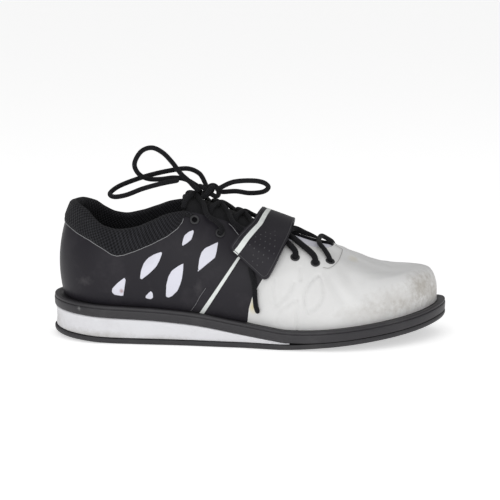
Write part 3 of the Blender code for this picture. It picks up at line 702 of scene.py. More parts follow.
def tooth(tree, shader, size, strength, depth=0.0002):
    """Raise the fine grain of the surface."""
    bump(tree, shader, add_group(tree, "grain", Size=size)["Height"],
         strength, depth)


# %% Marks: place and size in metres, stretch, strength and tone
RUB, SCUFF = (0.085, 0.08, 0.085, 1), (0.20, 0.20, 0.20, 1)
DIRT, GREY_DIRT = (0.38, 0.35, 0.31, 1), (0.38, 0.37, 0.34, 1)
PANEL_RUBS = (
    ((-0.118, -0.036, 0.045), 0.007, (1.0, 0.3, 1.6), 0.35, RUB),
    ((-0.034, -0.040, 0.042), 0.006, (1.5, 0.3, 0.8), 0.35, RUB),
    ((-0.060, -0.038, 0.080), 0.006, (1.0, 0.3, 2.0), 0.35, RUB),
)
FRONT_DIRT = (
    ((0.128, -0.012, 0.042), 0.016, (1.0, 0.8, 1.3), 0.70, DIRT),
    ((0.112, -0.032, 0.034), 0.020, (0.6, 0.6, 1.8), 0.42, DIRT),
    ((0.138, 0.004, 0.033), 0.012, (1.0, 0.5, 1.4), 0.60, DIRT),
    ((0.139, -0.018, 0.040), 0.020, (1.2, 0.6, 0.8), 0.85, DIRT),
    ((0.126, -0.034, 0.028), 0.016, (0.7, 0.6, 1.6), 0.60, DIRT),
    ((0.096, -0.044, 0.026), 0.018, (0.5, 0.6, 2.0), 0.36, DIRT),
    ((0.0785, -0.006, 0.0600), 0.006, (1.0, 0.5, 1.5), 0.45,
     (0.62, 0.55, 0.38, 1)),
    ((0.006, -0.043, 0.030), 0.0045, (1.4, 0.4, 0.7), 0.7,
     (0.70, 0.60, 0.25, 1)),
)
WINDOW_STAIN = (((-0.0905, -0.037, 0.0385), 0.0022, (1.0, 0.3, 1.0), 0.8,
                 (0.28, 0.11, 0.09, 1)),)
BAND_SCUFF = (
    ((-0.1221, -0.0365, 0.0252), 0.0022, (2.2, 0.3, 1.0), 0.7, SCUFF),
    ((-0.1221, -0.0365, 0.0252), 0.0022, (1.0, 0.3, 2.6), 0.5, SCUFF),
)
WEDGE_DIRT = (
    ((-0.104, -0.040, 0.0060), 0.012, (0.5, 0.4, 2.6), 0.60, GREY_DIRT),
    ((-0.126, -0.036, 0.0060), 0.012, (0.6, 0.4, 2.2), 0.55, GREY_DIRT),
    ((-0.145, -0.012, 0.0110), 0.014, (1.0, 0.6, 1.2), 0.50, GREY_DIRT),
    ((-0.060, -0.042, 0.0050), 0.010, (0.4, 0.4, 3.0), 0.40, GREY_DIRT),
)


# %% Black synthetic of the rear panel
def black_panel():
    black = (0.015, 0.0135, 0.018, 1)
    mat, tree, shader = new_material("black_panel", black, 0.48,
                                     Specular_IOR_Level=0.20)
    mask = wear(tree, shader, black, (0.042, 0.038, 0.044, 1), 48.0,
                (0.52, 0.78), 0.5, PANEL_RUBS, broken=0.6)
    dull(tree, shader, mask, 0.22, 0.44)
    tooth(tree, shader, 1400.0, 0.25)
    return mat


BLACK_PANEL = black_panel()


# %% White front, pale layer and stripe
def white_front():
    clean = (0.74, 0.74, 0.735, 1)
    mat, tree, shader = new_material("white_front", clean, 0.50,
                                     Specular_IOR_Level=0.4)
    mask = wear(tree, shader, clean, (0.60, 0.595, 0.59, 1), 26.0,
                (0.45, 0.8), 0.5, FRONT_DIRT)
    dull(tree, shader, mask, 0.2, 0.46)
    tooth(tree, shader, 1100.0, 0.22)
    return mat


def pale_layer():
    pale = (0.70, 0.70, 0.78, 1)
    mat, tree, shader = new_material("pale_layer", pale, 0.55)
    wear(tree, shader, pale, (0.55, 0.54, 0.60, 1), 70.0, (0.5, 0.8), 0.5,
         WINDOW_STAIN, broken=0.25)
    tooth(tree, shader, 1500.0, 0.2)
    return mat


def silver_stripe():
    silver = (0.72, 0.75, 0.73, 1)
    mat, tree, shader = new_material("silver_stripe", silver, 0.42,
                                     Sheen_Weight=0.1)
    wear(tree, shader, silver, (0.50, 0.52, 0.52, 1), 160.0, (0.5, 0.75), 0.6)
    tooth(tree, shader, 2600.0, 0.3, 0.0001)
    return mat


WHITE_FRONT = white_front()
PALE_LAYER = pale_layer()
SILVER = silver_stripe()


# %% Textiles, rubber and plastic
def textile(name, colour, across, along, strength, depth, dark=0.45):
    """Weave that rises on its threads, with painted shade darkening the colour
    between them.
    """
    mat, tree, shader = new_material(name, colour, 0.9, Sheen_Weight=0.04,
                                     Specular_IOR_Level=0.15)
    second = tuple(min(1.0, c * 2.2 + 0.01) for c in colour[:3]) + (1,)
    worn = add_group(tree, "cloud", Colour=colour, Second=second, Size=60.0,
                     From=0.45, To=0.8, Amount=0.4)
    height = add_group(tree, "weave", Across=across, Along=along)["Height"]
    # painted shade: the colour is darkened where the weave lies low
    shade = mix_colour(tree, height, tuple(c * dark for c in colour[:3])
                       + (1,), worn["Colour"])
    tree.links.new(shade, shader.inputs["Base Color"])
    bump(tree, shader, height, strength, depth)
    return mat


COLLAR_MESH = textile("collar_mesh", (0.029, 0.029, 0.034, 1), 1.1, 1.1,
                      1.0, 0.0012, dark=0.06)
LINING = textile("lining", (0.011, 0.011, 0.013, 1), 5.0, 5.0, 0.4, 0.0002)
TONGUE_MESH = textile("tongue_mesh", (0.014, 0.014, 0.016, 1), 3.0, 3.0,
                      0.7, 0.0005)
LACE_BRAID = textile("lace_braid", (0.012, 0.012, 0.014, 1), 6.0, 2.1,
                     0.8, 0.0004)


def rubber(name, colour, rough, grain, second, marks=()):
    """Rubber, plastic, trim and the painted highlight and shadow lines, mottled
    with a second colour.
    """
    mat, tree, shader = new_material(name, colour, rough,
                                     Specular_IOR_Level=0.45)
    mask = wear(tree, shader, colour, second, 45.0, (0.5, 0.82), 0.6, marks)
    dull(tree, shader, mask, 0.2, rough)
    tooth(tree, shader, grain, 0.3)
    return mat


BAND_RUBBER = rubber("band_rubber", (0.022, 0.0205, 0.024, 1), 0.48, 1500.0,
                     (0.060, 0.058, 0.060, 1), BAND_SCUFF)
TREAD_RUBBER = rubber("tread_rubber", (0.022, 0.021, 0.024, 1), 0.6, 1200.0,
                      (0.06, 0.057, 0.054, 1))
WEDGE_PLASTIC = rubber("wedge_plastic", (0.70, 0.70, 0.725, 1), 0.42, 700.0,
                       (0.55, 0.54, 0.56, 1), WEDGE_DIRT)
BLACK_TRIM = rubber("black_trim", (0.022, 0.022, 0.024, 1), 0.5, 2000.0,
                    (0.05, 0.05, 0.052, 1))
# a grey a little lighter than the strap: a painted highlight on its border line
# and studs
STRAP_TRIM_HIGHLIGHT = rubber("strap_trim_highlight", (0.046, 0.046, 0.050, 1), 0.5, 2000.0,
                    (0.03, 0.03, 0.032, 1))
SEAM_SHADE = rubber("seam_shade", (0.40, 0.39, 0.38, 1), 0.7, 2000.0,
                    (0.50, 0.49, 0.48, 1))
# thin lines whose pale grey is a painted highlight on the edges they follow
EDGE_HIGHLIGHT_GREY = rubber("grey_edge_highlight", (0.25, 0.25, 0.26, 1), 0.6, 2000.0,
                     (0.15, 0.15, 0.16, 1))

# %% [markdown]
# ## The sole
# Three layers are moulded and glued: a thin tread, a hard pale wedge that
# runs out under the ball, and the black band with a raised rim that holds
# the upper.  Each is a stack of rings round the same plan; a ring is an
# inset from the edge and a height.  The flat tops and undersides are
# closed by strips from side to side, so they follow the toe's lift.

# %% Layers of the sole
def ring(inset, height, angles):
    x, y = sole_edge(angles, inset)
    return np.stack([x, y, height(x)], axis=-1)


STRIPS = 6      # how many strips close a top or an underside


def cap_rows(points, start, count, closed, extra):
    """Rows of point numbers from side to side over the ring at start."""
    rows = []
    for i in range(count // 2 + 1):
        j = (count - i) % count if closed else count - 1 - i
        a, b = points[start + i], points[start + j]
        if i == j:
            rows.append([start + i] * (STRIPS + 1))
            continue
        row = [start + i]
        for c in range(1, STRIPS):
            extra.append(a + (b - a) * c / STRIPS)
            row.append(len(points) + len(extra) - 1)
        rows.append(row + [start + j])
    return rows


def cap_faces(rows):
    """Faces between neighbouring rows; two equal corners make a triangle."""
    faces = []
    for p, q in zip(rows, rows[1:]):
        for c in range(STRIPS):
            face = dict.fromkeys((p[c], p[c + 1], q[c + 1], q[c]))
            if len(face) > 2:
                faces.append(tuple(face))
    return faces


def layer(name, angles, rings, material, closed=True):
    """Stack of rings, from the underside's edge to the top's edge."""
    count = len(angles)
    points = np.vstack([ring(inset, height, angles)
                        for inset, height in rings])
    faces = grid_faces(len(rings), count, closed)
    extra, fronts = [], []
    for start in (0, len(points) - count):
        rows = cap_rows(points, start, count, closed, extra)
        faces += cap_faces(rows)
        fronts += rows[0]
    if not closed:
        low, high = fronts[:STRIPS + 1], fronts[STRIPS + 1:]
        left = [k * count for k in range(1, len(rings) - 1)]
        right = [k + count - 1 for k in left]
        faces.append(tuple(low + right + high[::-1] + left[::-1]))
    obj = new_object(name, np.vstack([points, np.array(extra)]), faces)
    mend_normals(obj)
    obj.data.materials.append(material)
    return obj


AROUND_SOLE = np.arange(360.0)

# %% [markdown]
# The tread is 3.8 mm thick and stands out a little beyond the wedge.
# Grooves cross it under the heel and the ball.  Each groove is a thin box
# taken away with a Boolean, the way a cutter would mill the mould.

# %% Tread
tread = layer("tread", AROUND_SOLE, [
    (inset, above(spring, lift)) for inset, lift in (
        (2.0, 0.0), (1.1, 0.25), (0.5, 0.9), (0.15, 1.9), (0.1, 3.3),
        (0.25, 3.75), (0.7, 3.85))], TREAD_RUBBER)
# place along the shoe in millimetres, turn in radians
GROOVES = ((-112.0, 0.0), (-98.0, 0.0), (-84.0, 0.0), (-70.0, 0.0),
           (20.0, 0.18), (34.0, 0.18), (49.0, 0.20), (64.0, 0.22),
           (79.0, 0.24), (94.0, 0.26), (109.0, 0.28))
GROOVE_SIZE = (0.0026, 0.074, 0.0044)      # metres
for x, turn in GROOVES:
    bpy.ops.object.select_all(action="DESELECT")
    bpy.ops.mesh.primitive_cube_add(
        size=1.0, location=(x * MM, 0.0, (float(spring(x)) - 1.0) * MM),
        rotation=(0.0, 0.0, turn), scale=GROOVE_SIZE)
    cutter = bpy.context.object
    apply_modifier(tread, "BOOLEAN", object=cutter, operation="DIFFERENCE",
                   solver="EXACT")
    bpy.data.objects.remove(cutter)
finish_piece(tread, "outsole", angle=30.0)

# %% [markdown]
# The wedge is hard and smooth, with slightly hollow sides.  It stops at a
# thin front edge under the ball, where the black band takes over.

# %% Wedge
front_angle = math.degrees(math.acos(WEDGE_END / HALF_LENGTH))
wedge_angles = np.linspace(front_angle, 360.0 - front_angle, 281)


def in_wedge(share):
    return lambda x: wedge_floor(x) + wedge_thickness(x) * share


wedge = layer("wedge", wedge_angles, [
    (inset, in_wedge(share)) for inset, share in (
        (2.4, 0.0), (1.7, 0.03), (1.45, 0.12), (1.75, 0.45), (1.5, 0.8),
        (1.2, 0.95), (1.7, 1.0))], WEDGE_PLASTIC, closed=False)
finish_piece(wedge, "heel_wedge", angle=35.0)


# %% [markdown]
# The band swells to its widest at mid height, breaks at a soft bevel and
# ends in a rounded rim.  A small gutter separates the rim from the upper.

# %% Band
def in_band(share):
    return lambda x: band_floor(x) + BAND * share


BAND_WALL = ((1.1, 0.0), (0.55, 0.015), (0.3, 0.07), (0.2, 0.28),
             (0.08, 0.50), (0.05, 0.64), (0.2, 0.69), (0.75, 0.715),
             (0.8, 0.745), (0.45, 0.775), (0.35, 0.85), (0.45, 0.93),
             (0.8, 0.985))
BAND_RIM = ((1.4, 0.05), (2.2, 0.15), (3.1, 0.2), (3.7, 0.1), (4.3, -0.3),
            (5.0, -0.5), (9.2, -0.5))
band = layer("band", AROUND_SOLE,
             [(inset, in_band(share)) for inset, share in BAND_WALL]
             + [(inset, above(ledge_height, lift)) for inset, lift in BAND_RIM],
             BAND_RUBBER)
finish_piece(band, "midsole", angle=38.0)

# %% [markdown]
# The footbed is a textile sheet over foam.  It fills the sole inside the
# upper and rolls over at its edge.

# %% Footbed
footbed = layer("footbed", AROUND_SOLE[::2], [
    (inset, above(upper_foot, lift)) for inset, lift in (
        (9.5, 0.1), (9.4, 1.2), (9.5, 2.6), (9.9, 3.5), (11.0, 3.95),
        (13.0, 4.0), (22.0, 3.9))], LINING)
finish_piece(footbed, "insole", angle=50.0)

# %% [markdown]
# ## The shell of the upper
# One closed shell, with a wall of 2 mm that swells to 5.6 mm at the padded
# collar.  Its grid is finer on the outer side, which carries the picture.
# The white front shows it directly; at the rear it is the pale layer that
# shines through the windows.  Soft creases where the toes bend, pressed
# petals on the white front and the bed of the rear panel are moved into
# the surface itself.

# %% Lines and marks on the side of the shoe, as length and height
COLLAR_SEAM = [(-141.0, 88.6), (-136.1, 85.2), (-124.6, 79.5),
               (-114.8, 75.6), (-103.3, 69.6), (-97.5, 65.9), (-93.5, 64.8),
               (-88.5, 65.6), (-79.4, 68.8), (-67.4, 73.9), (-56.8, 79.3),
               (-49.6, 84.6), (-46.8, 88.3), (-46.2, 93.7), (-47.6, 97.4)]
FRONT_EDGE = [(0.5, 5.0), (2.2, 19.2), (3.3, 28.7), (5.7, 37.1), (9.1, 43.5),
              (13.4, 50.9), (17.5, 59.0), (21.5, 67.0), (24.0, 74.0),
              (25.0, 95.0)]
WINDOWS = (
    ((-37.5, 84.0), (-38.5, 80.0), (-39.5, 77.0), (-42.5, 74.5),
     (-46.5, 72.0), (-45.5, 77.0), (-44.5, 80.0), (-41.5, 82.5)),
    ((-20.0, 75.5), (-21.0, 68.5), (-22.0, 64.5), (-27.5, 60.0),
     (-34.5, 54.0), (-33.5, 63.0), (-32.0, 68.0), (-29.5, 71.0)),
    ((-60.0, 68.5), (-62.5, 61.5), (-65.0, 57.0), (-69.5, 52.5),
     (-77.0, 46.5), (-76.0, 54.0), (-74.0, 59.5), (-71.0, 63.5),
     (-66.0, 66.5)),
    ((-45.0, 60.0), (-45.2, 55.0), (-46.0, 49.0), (-47.5, 44.0),
     (-49.5, 39.5), (-53.5, 35.5), (-56.0, 34.3), (-58.0, 35.0),
     (-57.5, 44.0), (-56.0, 50.0), (-53.5, 54.5), (-49.0, 57.8)),
    ((-88.3, 48.8), (-87.3, 47.0), (-89.5, 34.6), (-96.0, 35.5),
     (-97.8, 37.5), (-97.4, 40.3), (-93.5, 44.5)),
    ((-69.2, 39.2), (-67.6, 37.6), (-67.4, 34.0), (-68.5, 32.8),
     (-72.5, 33.3), (-73.2, 34.7), (-71.0, 37.2)),
)
STRIPE = ((-36.6, 18.6), (-32.9, 18.5), (-2.2, 66.7), (-5.8, 64.6))
PRESSED_PETALS = ((47.0, 26.4, 54.2, 54.0, 6.6),)
PRESSED_LINES = (
    ((38.6, 13.0), (37.8, 36.4)),
    ((37.8, 36.4), (34.0, 33.6), (30.2, 30.3), (26.8, 26.6), (24.5, 22.9),
     (22.9, 17.9)),
    ((20.1, 50.7), (20.2, 43.0), (20.9, 36.2), (21.6, 33.0), (23.2, 31.5),
     (25.2, 32.6), (28.0, 35.4), (31.0, 38.5), (33.6, 42.6), (35.8, 48.6)),
    ((40.0, 58.5), (40.5, 50.0)))
EYELETS = ((57.0, 0.73), (65.0, 0.68), (72.5, 0.73), (81.0, 0.78),
           (89.5, 0.80), (98.0, 0.82), (106.5, 0.91))
EYELET_HOLE = 4.4

# toe-bend creases: start, end, depth, half width
CREASES = (
    ((97.0, 53.0), (74.0, 62.5), 0.5, 2.6),
    ((84.0, 40.0), (72.0, 56.0), 0.45, 3.4),
    ((72.0, 36.0), (60.0, 54.0), 0.5, 3.0),
    ((94.0, 30.0), (87.0, 48.0), 0.6, 4.0),
    ((30.0, 20.0), (36.0, 50.0), 0.4, 3.5),
    ((104.0, 24.0), (108.0, 44.0), 0.3, 4.5),
)
PETAL_DEEP, LINE_DEEP, PRESS_WIDE = 1.00, 0.85, 0.8


def petal(low_x, low_z, high_x, high_z, swell):
    """Outline of a petal from tip to tip, swollen to both sides."""
    low, high = np.array([low_x, low_z]), np.array([high_x, high_z])
    along = high - low
    side = np.array([-along[1], along[0]]) / np.hypot(*along)
    t = np.linspace(0.0, 1.0, 12)[:, None]
    bow = side * (np.sin(np.pi * t) ** 0.85 * swell)
    one = low + along * t + bow
    two = low + along * t - bow
    return np.vstack([one, two[-2:0:-1]])


def cut_line(height):
    """Length where the black panel's front edge lies at a height."""
    return np.interp(height, [p[1] for p in FRONT_EDGE],
                     [p[0] for p in FRONT_EDGE])


def eyelet_distance(points):
    """Distance of each point to the nearest eyelet's rim, inside below 0."""
    best = np.full(points.shape[:2], 1e9)
    for around, rise in EYELETS:
        for at in (around, 360.0 - around):
            mid = skin(at, rise)
            best = np.minimum(best, np.linalg.norm(points - mid, axis=-1))
    return best - EYELET_HOLE / 2.0


# %% Columns and rows of the shell
COLUMNS = np.concatenate([
    np.arange(0.0, 20.0, 0.8), np.arange(20.0, 112.0, 0.5),
    np.arange(112.0, 180.0, 0.8), np.arange(180.0, 360.0, 1.0)])
ROWS = np.linspace(0.0, 1.0, 79)
grid_around, grid_rise = np.meshgrid(np.append(COLUMNS, 360.0), ROWS,
                                     indexing="ij")
surface = skin(grid_around, grid_rise)
normals = skin_normal(grid_around, grid_rise)
side_x, side_z = surface[..., 0], surface[..., 2]


def mould():
    """Depth of creases and pressed lines over the grid, in millimetres."""
    depth = np.zeros(side_x.shape)
    for start, end, deep, wide in CREASES:
        d = distance_line([start, end], side_x, side_z)
        depth -= deep * np.exp(-(d / wide) ** 2)
        # a low lip on both sides of each crease
        depth += deep * 0.4 * np.exp(-((d - wide * 2.0) / wide) ** 2)
    on_outer = surface[..., 1] < 10.0
    for row in PRESSED_PETALS:
        d = np.abs(distance_inside(petal(*row), side_x, side_z))
        depth -= PETAL_DEEP * np.exp(-(d / PRESS_WIDE) ** 2) * on_outer
    for line in PRESSED_LINES:
        d = distance_line(line, side_x, side_z)
        depth -= LINE_DEEP * np.exp(-(d / PRESS_WIDE) ** 2) * on_outer
    return depth


relief = mould()

# the shell lies deeper where the black panel covers it
BED_DEEP, BED_SHALLOW = 0.85, 0.15
front_x = cut_line(side_z)
behind = smooth(-2.0, 6.0, front_x - side_x + 4.0)
under_panel = -BED_DEEP * behind - BED_SHALLOW * (1.0 - behind)


def shell_top(around):
    """Share of the rise where the shell ends: lower under the collar."""
    a, _ = fold(around)
    return 1.0 - 0.075 * smooth(106.0, 112.0, a)


shell_rise = grid_rise * shell_top(grid_around)
shell_face = skin(grid_around, shell_rise) + skin_normal(
    grid_around, shell_rise) * (under_panel + relief)[..., None]


# %% Shell
def build_shell():
    count = len(COLUMNS)
    keep = eyelet_distance(shell_face) - 0.25
    points, faces, _ = trimmed(shell_face, keep, np.zeros(keep.shape + (2,)))
    # the lining, from the top edge down to the ledge
    aa, rr = np.meshgrid(COLUMNS, np.linspace(1.0, 0.0, 25), indexing="ij")
    inner = inside(aa, rr * shell_top(aa))
    fx, fy = sole_edge(COLUMNS, LEDGE + WALL)
    inner[:, -1] = np.stack([fx, fy, upper_foot(fx)], axis=-1)
    # the rolled edge between the outer face and the lining
    edge = shell_face[:-1, -1]
    lip = skin(COLUMNS, 1.0) - skin(COLUMNS, 0.97)
    lip /= np.linalg.norm(lip, axis=-1, keepdims=True)
    crown = [edge + (inner[:, 0] - edge) * t
             + lip * (0.7 * math.sin(math.pi * t)) for t in (0.25, 0.5, 0.75)]
    rest = np.stack([edge] + crown + list(np.swapaxes(inner, 0, 1)))
    base = len(points)
    under = base + len(rest) * count
    last = under - count
    points = np.vstack([points, rest.reshape(-1, 3), shell_face[:-1, 0]])
    faces += [tuple(base + i for i in face)
              for face in grid_faces(len(rest), count, closed=True)]
    faces += [(last + i, under + i, under + (i + 1) % count,
               last + (i + 1) % count) for i in range(count)]
    deep = np.zeros(len(points))
    deep[base + count:under] = 1.0
    obj = new_object("shell", points, faces, marks={"lining": deep})
    mend_normals(obj)
    # slot 0 is the white front, 1 the pale layer, 2 the lining
    for material in (WHITE_FRONT, PALE_LAYER, LINING):
        obj.data.materials.append(material)
    mark = obj.data.attributes["lining"].data
    for face in obj.data.polygons:
        x, _, z = (c / MM for c in face.center)
        if sum(mark[i].value for i in face.vertices) > 1.5:
            face.material_index = 2
        elif x < cut_line(z) - 3.0:
            face.material_index = 1
    return obj


finish_piece(build_shell(), "upper", angle=60.0)

# %% [markdown]
# ## The black rear panel
# One sheet wraps the heel and both sides, from the band up to the collar's
# seam and the edge of the throat.  Petal windows and eyelets are holes in
# it.  It is trimmed from the same grid as the shell, and Solidify gives it
# three quarters of a millimetre of thickness.

# %% Rear panel
COLLAR_AREA = COLLAR_SEAM + [(-47.6, 140.0), (-160.0, 140.0), (-160.0, 89.0)]
DEGREE_WIDE, RISE_HIGH = 1.4, 70.0     # rough millimetres, for the UV map
eyelets_kept = eyelet_distance(surface) - 0.1


def panel_keep():
    """Above zero behind the cut line, outside collar, windows and eyelets."""
    keep = np.minimum((front_x - side_x) * 0.86, eyelets_kept)
    for outline in (COLLAR_AREA,) + WINDOWS:
        keep = np.minimum(keep, -distance_inside(outline, side_x, side_z))
    return keep


def sheet(name, keep, lift, thick, material):
    """Trimmed sheet over the last, lift and thickness in millimetres."""
    points = surface + normals * (lift + relief)[..., None]
    uv = np.stack([grid_around * DEGREE_WIDE, grid_rise * RISE_HIGH], axis=-1)
    verts, faces, coords = trimmed(points, keep, uv)
    obj = new_object(name, verts, faces, uv=coords)
    bm = bmesh.new()
    bm.from_mesh(obj.data)
    bmesh.ops.remove_doubles(bm, verts=bm.verts, dist=2e-5)
    bm.to_mesh(obj.data)
    bm.free()
    apply_modifier(obj, "SOLIDIFY", thickness=thick * MM, offset=1.0,
                   use_even_offset=False)
    obj.data.materials.append(material)
    return obj


finish_piece(sheet("rear_panel", panel_keep(), -0.75, 0.75, BLACK_PANEL),
             angle=45.0)

# %% [markdown]
# A silver stripe slants over the panel from the sole towards the strap.
# It is a thin film, so it follows the panel a tenth of a millimetre
# higher.  It lies on the outer side only, where the strap takes it up.

# %% Stripe on the panel
stripe_keep = np.where(surface[..., 1] < 0.0,
                       distance_inside(STRIPE, side_x, side_z), -1.0)
finish_piece(sheet("panel_stripe", stripe_keep, -0.05, 0.17, SILVER),
             angle=45.0)

# %% [markdown]
# ## The padded collar
# Sports mesh is wrapped over foam, sewn down along the seam outside and
# rolled over the top edge into the shoe.  Its grid starts at the seam, so
# the seam's curve is its first row, and it swells outwards from there.
# The mesh lies at 45 degrees to the edge, so its UV map is turned too.

# %% Collar
COLLAR_FROM = 107.0   # angle around
SEAM_TOP = 0.93       # highest rise of the seam
ROLL = 0.955          # rise where the collar starts to roll in
HEEL_DROP = 0.027     # how much lower it rolls in at the heel


def rise_at_seam(around):
    """Rise where the collar's seam crosses one column."""
    r = np.linspace(0.35, 1.0, 400)
    p = skin(np.full(400, around), r)
    d = distance_inside(COLLAR_AREA, p[:, 0], p[:, 2])
    where = np.nonzero(d > 0.0)[0]
    return float(r[where[0]]) if len(where) else 1.0


collar_columns = np.linspace(COLLAR_FROM, 360.0 - COLLAR_FROM, 260)
seam_rise = np.minimum([rise_at_seam(a) for a in collar_columns], SEAM_TOP)


def collar_points():
    """Rows of the collar: up the outside, over the lip and down inside."""
    roll = ROLL - HEEL_DROP * smooth(142.0, 168.0, fold(collar_columns)[0])
    room = np.clip((roll - seam_rise) * 8.0, 0.3, 1.0)
    out = []
    for t in np.linspace(0.0, 1.0, 26):
        r = seam_rise + (roll - seam_rise) * t
        swell = 1.25 * min(t * 5.0, 1.0) ** 0.5 - 0.35
        out.append(outside(collar_columns, r, (swell * room)[:, None]))
    top = out[-1]
    lip = skin(collar_columns, 1.0) - skin(collar_columns, ROLL)
    low = inside(collar_columns, roll, 0.45)
    for t in np.linspace(0.1, 0.9, 11):
        out.append(top + (low - top) * t
                   + lip * 1.02 * math.sin(math.pi * t) ** 0.6)
    for t in np.linspace(0.0, 1.0, 18):
        r = roll + (0.42 - roll) * t
        out.append(inside(collar_columns, r,
                          0.43 * smooth(0.42, 0.6, r) + 0.02))
    return np.array(out)


collar_grid = collar_points()
rows, columns = collar_grid.shape[:2]
run = running_length(collar_grid[:, columns // 4])[:, None]
along = running_length(collar_grid[10])[None, :]
collar_uv = np.stack([along + run, along - run], -1)
collar = new_object("collar", collar_grid.reshape(-1, 3),
                    grid_faces(rows, columns),
                    uv=collar_uv.reshape(-1, 2))
turn_together(collar)
collar.data.materials.append(COLLAR_MESH)
finish_piece(collar, angle=70.0)


# %% [markdown]
# ## Tubes: laces and grey lines
# A lace is a round braid.  `tube` lofts circles along a smooth path and
# unrolls them in UV, so that the braid turns round the lace instead of
# sliding through it.  The same helper makes the thin grey line along the
# collar's seam; its pale grey is a painted highlight on the seam's edge.

# %% Paths and tubes
def smooth_path(points):
    """Points a millimetre apart on a curve through chosen points."""
    pts = np.array(points, float)
    ext = np.vstack([2 * pts[0] - pts[1], pts, 2 * pts[-1] - pts[-2]])
    fine = []
    for i in range(len(pts) - 1):
        p0, p1, p2, p3 = ext[i:i + 4]
        for t in np.linspace(0.0, 1.0, 24, endpoint=False):
            fine.append(0.5 * ((2 * p1) + (p2 - p0) * t
                               + (2 * p0 - 5 * p1 + 4 * p2 - p3) * t ** 2
                               + (3 * p1 - p0 - 3 * p2 + p3) * t ** 3))
    fine = np.array(fine + [pts[-1]])
    run = running_length(fine)
    want = np.linspace(0.0, run[-1], max(3, int(round(run[-1])) + 1))
    return np.stack([np.interp(want, run, fine[:, k]) for k in range(3)], 1)


TUBE_ENDS = ((-0.95, 0.35), (-0.7, 0.75))     # place and size, in radii


def tube(name, path, radius, material, sides=14):
    """Round tube along a path, rounded off at both ends."""
    path = np.array(path, float)
    tangent = np.gradient(path, axis=0)
    tangent /= np.linalg.norm(tangent, axis=1, keepdims=True)
    start = np.cross(tangent[0], (0.0, 0.0, 1.0))
    if np.linalg.norm(start) < 0.1:
        start = np.cross(tangent[0], (1.0, 0.0, 0.0))
    side = start / np.linalg.norm(start)
    run = running_length(path)
    points, uv = [], []
    first = [(path[0] + tangent[0] * radius * a, tangent[0], b, a * radius)
             for a, b in TUBE_ENDS]
    stations = [(p, t, 1.0, d) for p, t, d in zip(path, tangent, run)]
    final = [(path[-1] - tangent[-1] * radius * a, tangent[-1], b,
              run[-1] - a * radius) for a, b in TUBE_ENDS[::-1]]
    for at, t, size, d in first + stations + final:
        side = side - t * np.dot(side, t)
        side /= np.linalg.norm(side)
        other = np.cross(t, side)
        for k in range(sides + 1):
            a = 2.0 * math.pi * k / sides
            points.append(at + (math.cos(a) * side + math.sin(a) * other)
                          * radius * size)
            uv.append((a, d))
    rings = len(first) + len(stations) + len(final)
    faces = [face[::-1] for face in grid_faces(rings, sides + 1)]
    faces.append(tuple(range(sides)))
    faces.append(tuple((rings - 1) * (sides + 1) + k
                       for k in reversed(range(sides))))
    obj = new_object(name, points, faces, uv=uv)
    mend_normals(obj)
    obj.data.materials.append(material)
    return obj


# %% Painted highlight along the collar's seam
sewn = seam_rise < SEAM_TOP - 0.005
seam_highlight_path = outside(collar_columns[sewn], seam_rise[sewn], 0.15)[1:-1]
finish_piece(tube("collar_seam_highlight", seam_highlight_path, 0.26, EDGE_HIGHLIGHT_GREY, sides=8),
             angle=80.0)

# %% [markdown]
# A rounded tab strengthens the front end of the throat.  It is a second
# white layer, raised by three quarters of a millimetre, with the first
# eyelets in it.

# %% Throat tab
TAB = ((50.0, 75.0), (70.0, 72.0), (69.5, 66.5), (67.8, 62.8), (64.5, 59.8),
       (60.5, 58.0), (56.5, 58.6), (54.0, 62.0), (52.0, 68.0))
tab_keep = np.minimum(distance_inside(TAB, side_x, side_z), eyelets_kept)
finish_piece(sheet("throat_tab", tab_keep, -0.35, 0.95, WHITE_FRONT),
             angle=45.0)

# %% [markdown]
# ## Eyelets and fine lines
# Every lace hole has a soft black rim.  Fine grey lines follow the edge of an
# inner layer before the stripe, a moulded line at the eyestay and the end of
# the collar's lining; their pale grey is a painted highlight on those edges.
# A darker line along the tab's lower edge is a painted shadow under it.

# %% Eyelet rims
def locate(x, z):
    """Angle and rise of the outer side at a length and a height."""
    near = (side_x - x) ** 2 + (side_z - z) ** 2
    near = np.where(surface[..., 1] < -4.0, near, 1e9)
    i, j = np.unravel_index(np.argmin(near), near.shape)
    at, up = grid_around[i, j], grid_rise[i, j]
    for _ in range(6):
        here = skin(at, up)
        da = (skin(at + 0.1, up) - here) / 0.1
        dr = (skin(at, up + 0.001) - here) / 0.001
        slope = np.array([[da[0], dr[0]], [da[2], dr[2]]])
        step = np.linalg.solve(slope, np.array([x - here[0], z - here[2]]))
        at += float(np.clip(step[0], -2.0, 2.0))
        up = float(np.clip(up + np.clip(step[1], -0.04, 0.04), 0.01, 0.99))
    return at, up


RIM_RADIUS, RIM_THICK, RIM_HIGH, RIM_LIFT = 2.75, 0.78, 0.7, 0.12
RIM_STEPS, RIM_SIDES = 28, 8


def rim_points(at, rise):
    """Ring of small loops round one hole, a little flattened."""
    mid, n = skin(at, rise), skin_normal(at, rise)
    u = np.cross(n, (0.0, 0.0, 1.0))
    u /= np.linalg.norm(u)
    v = np.cross(n, u)
    points = []
    for a in np.arange(RIM_STEPS) * 2.0 * math.pi / RIM_STEPS:
        spoke = u * math.cos(a) + v * math.sin(a)
        for b in np.arange(RIM_SIDES) * 2.0 * math.pi / RIM_SIDES:
            points.append(mid + spoke * (RIM_RADIUS + RIM_THICK * math.cos(b))
                          + n * (RIM_LIFT + RIM_THICK * RIM_HIGH
                                 * math.sin(b)))
    return points


